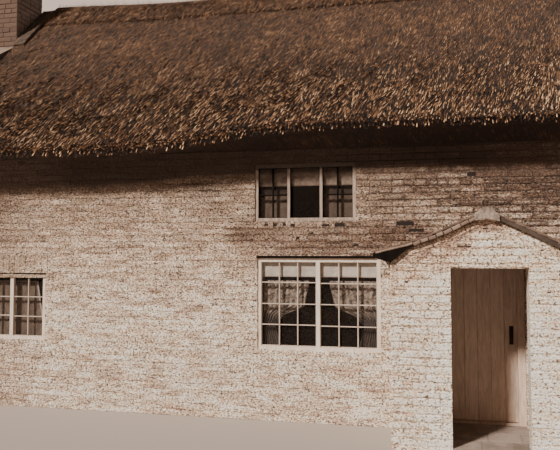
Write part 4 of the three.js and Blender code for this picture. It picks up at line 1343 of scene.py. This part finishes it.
def glaze(name, w, dice):
    # how far behind the wall and how thick: bars, then beads; the panes stand at the back
    barAt, beadAt, paneDepth, paneThick = (0.020, 0.026), (0.026, 0.022), 0.047, 0.003
    bead, setback = windowSizes["bead"], windowSizes["setback"]
    wider = windowSizes["darkBars"] if w["isDark"] else 1.0
    upright, level = windowSizes["upright"] * wider, windowSizes["level"] * wider
    wall = wallSides[w["wall"]]
    turnZ = math.radians(wall["angle"])
    face, mullion, lights = w["face"], w["mullion"], len(w["bars"])
    light = (w["width"] - 2 * face - (lights - 1) * mullion) / lights
    low, high = w["sill"] + face, w["head"] - face
    bars, panes = [], []

    def addBar(u, z, width, height, at=barAt):
        depth, thick = at
        bars.append(block(
            onWall(wall, u, setback + depth, z), (width, thick, height), (0.0, 0.0, turnZ), dice.random()))

    for k, (columns, levels) in enumerate(w["bars"]):
        left = w["at"] - w["width"] / 2 + face + k * (light + mullion)
        right = left + light
        for u in (left + bead / 2, right - bead / 2):
            addBar(u, (low + high) / 2, bead, high - low, beadAt)
        for z in (low + bead / 2, high - bead / 2):
            addBar((left + right) / 2, z, light - 2 * bead, bead, beadAt)
        stops = [low + (high - low) * j / levels for j in range(levels + 1)]
        if levels == 2:
            stops[1] = low + (high - low) * w["split"]
        for i in range(1, columns):
            addBar(left + light * i / columns, (low + high) / 2, upright, high - low - 2 * bead)
        for z in stops[1:-1]:
            addBar((left + right) / 2, z + sway(dice, 0.006), light - 2 * bead, level)
        width = light / columns
        for i in range(columns):
            for foot, top in zip(stops, stops[1:]):
                panes.append(block(
                    onWall(wall, left + width * (i + 0.5), setback + paneDepth, (foot + top) / 2),
                    (width + 0.004, paneThick, top - foot + 0.004),
                    (sway(dice, 0.004), 0.0, turnZ + sway(dice, 0.006)), dice.random()))
    paint = blackWood if w["isDark"] else barPaint
    newPiece(name + "_window_bars", setOut(bars, barBlank, paint))
    glassName = name + "_window_glass"
    newPiece(name + "_window_panes", setOut(panes, barBlank, windowGlass), [glassName])


def buildWindows():
    dice = random.Random(71)
    for name, w in windows.items():
        glaze(name, w, dice)
    print("windows glazed")


# Cloth: a sheet between two edges, pleated, its flat cut kept as UV in metres. A number or an edge that
# changes on the way down is a line through (v, value) stops, with v from 0 at the head to 1 at the foot.
clothThick = 0.0015
laceEdge = [(0.0, 0.118), (0.36, 0.168), (0.56, 0.44), (0.67, 0.518), (1.0, 0.452)]
laceFold = [(0.0, 0.006), (0.5, 0.006), (0.65, 0.007), (1.0, 0.005)]
blind = {"grid": (60, 12), "y": -2.533, "depth": 0.0006, "pleats": 3, "slack": 0.003, "held": "hung"}
lace = {
    "grid": (150, 40), "flat": (0.58, 0.77), "top": 1.60, "bottom": 0.832, "y": -2.499, "depth": laceFold,
    "pleats": 8, "slack": 0.003, "held": "gathered", "material": laceCloth, "frame": "main_window_frame"}
net = {"y": -2.493, "depth": 0.003, "slack": 0.002, "held": "gathered"}
halfCurtain = {
    **net, "grid": (70, 12), "flat": (0.40, 0.398), "top": 2.69, "bottom": 2.292, "pleats": 3,
    "material": halfCloth, "frame": "upper_window_frame"}
cloths = {
    "main_blind_cloth": {
        **blind, "flat": (1.386, 0.217), "left": -1.057, "right": 0.329, "top": 1.86, "bottom": 1.643,
        "seed": 1.0, "material": blindCloth, "replaced": "main_window_blind", "frame": "main_window_frame"},
    "upper_blind_cloth": {
        **blind, "flat": (1.148, 0.25), "left": -1.09, "right": 0.058, "top": 2.95, "bottom": 2.70,
        "seed": 2.0, "material": shadedBlindCloth, "replaced": "upper_window_blind", "frame": "upper_window_frame"},
    "main_lace_left": {
        **lace, "left": -1.057, "right": [(v, mainMiddle - reach) for v, reach in laceEdge],
        "seed": 3.0, "replaced": "main_curtain_left"},
    "main_lace_right": {
        **lace, "left": [(v, mainMiddle + reach) for v, reach in laceEdge], "right": 0.329,
        "seed": 5.0, "replaced": "main_curtain_right"},
    "left_net_cloth": {
        **net, "grid": (150, 14), "flat": (0.93, 0.73), "top": 1.56, "bottom": 0.832, "pleats": 9,
        "left": -4.77, "right": lambda v: -4.0 + 0.13 * v,
        "seed": 7.0, "material": netCloth, "replaced": "left_window_net", "frame": "left_window_frame"},
    "upper_half_cloth_left": {
        **halfCurtain, "left": -1.09, "right": -0.724, "seed": 8.0, "replaced": "upper_half_curtain_left"},
    "upper_half_cloth_right": {
        **halfCurtain, "left": -0.308, "right": 0.058, "seed": 9.0, "replaced": "upper_half_curtain_right"},
}


def valueAt(line, v):
    # a plain number, a function, or a smooth line through its stops
    if callable(line):
        return line(v)
    if not isinstance(line, list):
        return line
    for (v0, a), (v1, b) in zip(line, line[1:]):
        if v <= v1:
            t = (v - v0) / (v1 - v0)
            t = t * t * (3 - 2 * t)
            return a + (b - a) * t
    return line[-1][1]


def hangCloth(name, shape):
    columns, rows = shape["grid"]
    cutWidth, cutLength = shape["flat"]
    seed = shape["seed"]
    points, places = [], []
    for j in range(rows + 1):
        v = j / rows
        z = shape["top"] + (shape["bottom"] - shape["top"]) * v
        left, right, depth = (valueAt(shape[key], v) for key in ("left", "right", "depth"))
        for i in range(columns + 1):
            u = i / columns
            lag = 0.35 * noise.noise(Vector((u * 3, v * 2, seed)))
            wave = math.sin(2 * math.pi * (shape["pleats"] * u + lag))
            wander = noise.noise(Vector((u * 5, v * 4, seed + 9.0)))
            points.append((left + (right - left) * u, shape["y"] + depth * wave + shape["slack"] * wander, z))
            places.append((u * cutWidth, v * cutLength))
    faces = []
    for j in range(rows):
        for i in range(columns):
            a = j * (columns + 1) + i
            faces.append((a, a + columns + 1, a + columns + 2, a + 1))
    mesh = bpy.data.meshes.new(name)
    mesh.from_pydata(points, [], faces)
    layer = mesh.uv_layers.new(name="flat")
    for loop in mesh.loops:
        layer.data[loop.index].uv = places[loop.vertex_index]
    mesh.materials.append(shape["material"])
    sheet = placeObject("sheet", mesh)
    thicken = sheet.modifiers.new("thicken", "SOLIDIFY")
    thicken.thickness = clothThick
    thicken.offset = 0.0
    made = finishedMesh(sheet)
    for face in made.polygons:
        face.use_smooth = True
    area = sum(face.area for face in made.polygons) / 2
    print(name, "cloth area", round(area, 3), "of flat", round(cutWidth * cutLength, 3))
    piece = newPiece(name, made, [shape["replaced"]])


# Light: one large soft key from the upper left, so that the eave and the porch throw their shade,
# a weaker one from behind for the back and the right gable, and a pale backdrop that lights little
lightSettings = {
    "toKey": (-0.62, -1.0, 0.94),
    "keyStrength": 6.1,
    "keySpread": 6.0,
    "toBack": (0.75, 1.0, 0.8),
    "backStrength": 1.5,
    "backSpread": 20.0,
    "sunColor": (1.0, 0.93, 0.85),
    "fillColor": (0.86, 0.76, 0.68),
    "fillStrength": 0.13,
    "backdrop": (0.86, 0.66, 0.55),
    "floorHalf": 45.0,
    "floorColor": (0.40, 0.335, 0.29),
}


def makeStage():
    half = lightSettings["floorHalf"]
    corners = [(-half, -half, 0), (half, -half, 0), (half, half, 0), (-half, half, 0)]
    mesh = bpy.data.meshes.new("paleFloor")
    mesh.from_pydata(corners, [], [(0, 1, 2, 3)])
    material, tree = newMaterial("paleFloor", 0.95)
    speckle = noiseValue(tree, objectPlace(tree), 3.0, 4.0, 0.6)
    color = lightSettings["floorColor"]
    shader = tree.nodes["Principled BSDF"]
    feed(tree, shader.inputs["Base Color"], mixColor(tree, speckle, color, tuple(c * 0.96 for c in color)))
    mesh.materials.append(material)
    placeObject("paleFloor", mesh)
    for name in ("key", "back"):
        sun = bpy.data.lights.new(name + "Light", "SUN")
        sun.energy = lightSettings[name + "Strength"]
        sun.angle = math.radians(lightSettings[name + "Spread"])
        sun.color = lightSettings["sunColor"]
        lamp = placeObject(name + "Light", sun)
        lamp.rotation_euler = Vector(lightSettings["to" + name.title()]).to_track_quat("Z", "Y").to_euler()
    world = bpy.data.worlds.new("paleBackdrop")
    world.use_nodes = True
    tree = world.node_tree
    fill = tree.nodes["Background"]
    fill.inputs["Color"].default_value = (*lightSettings["fillColor"], 1.0)
    fill.inputs["Strength"].default_value = lightSettings["fillStrength"]
    seen = addNode(tree, "ShaderNodeBackground", {"Color": lightSettings["backdrop"], "Strength": 1.0})
    direct = addNode(tree, "ShaderNodeLightPath").outputs["Is Camera Ray"]
    either = addNode(tree, "ShaderNodeMixShader", {"Fac": direct, 1: fill.outputs[0], 2: seen.outputs[0]})
    tree.links.new(either.outputs[0], tree.nodes["World Output"].inputs["Surface"])
    bpy.context.scene.world = world


makeCamera(cameraSettings)
makeStage()
buildWalls()
buildChimney()
buildPorchWalls()
buildPorchTiles()
buildPorchVerge()
buildMortar()
buildFloors()
buildDoor()
buildThatch()
buildWindows()
for name, shape in cloths.items():
    hangCloth(name, shape)

for blank in [thing for thing in bpy.data.objects if thing.name.endswith("Blank")]:
    bpy.data.objects.remove(blank)
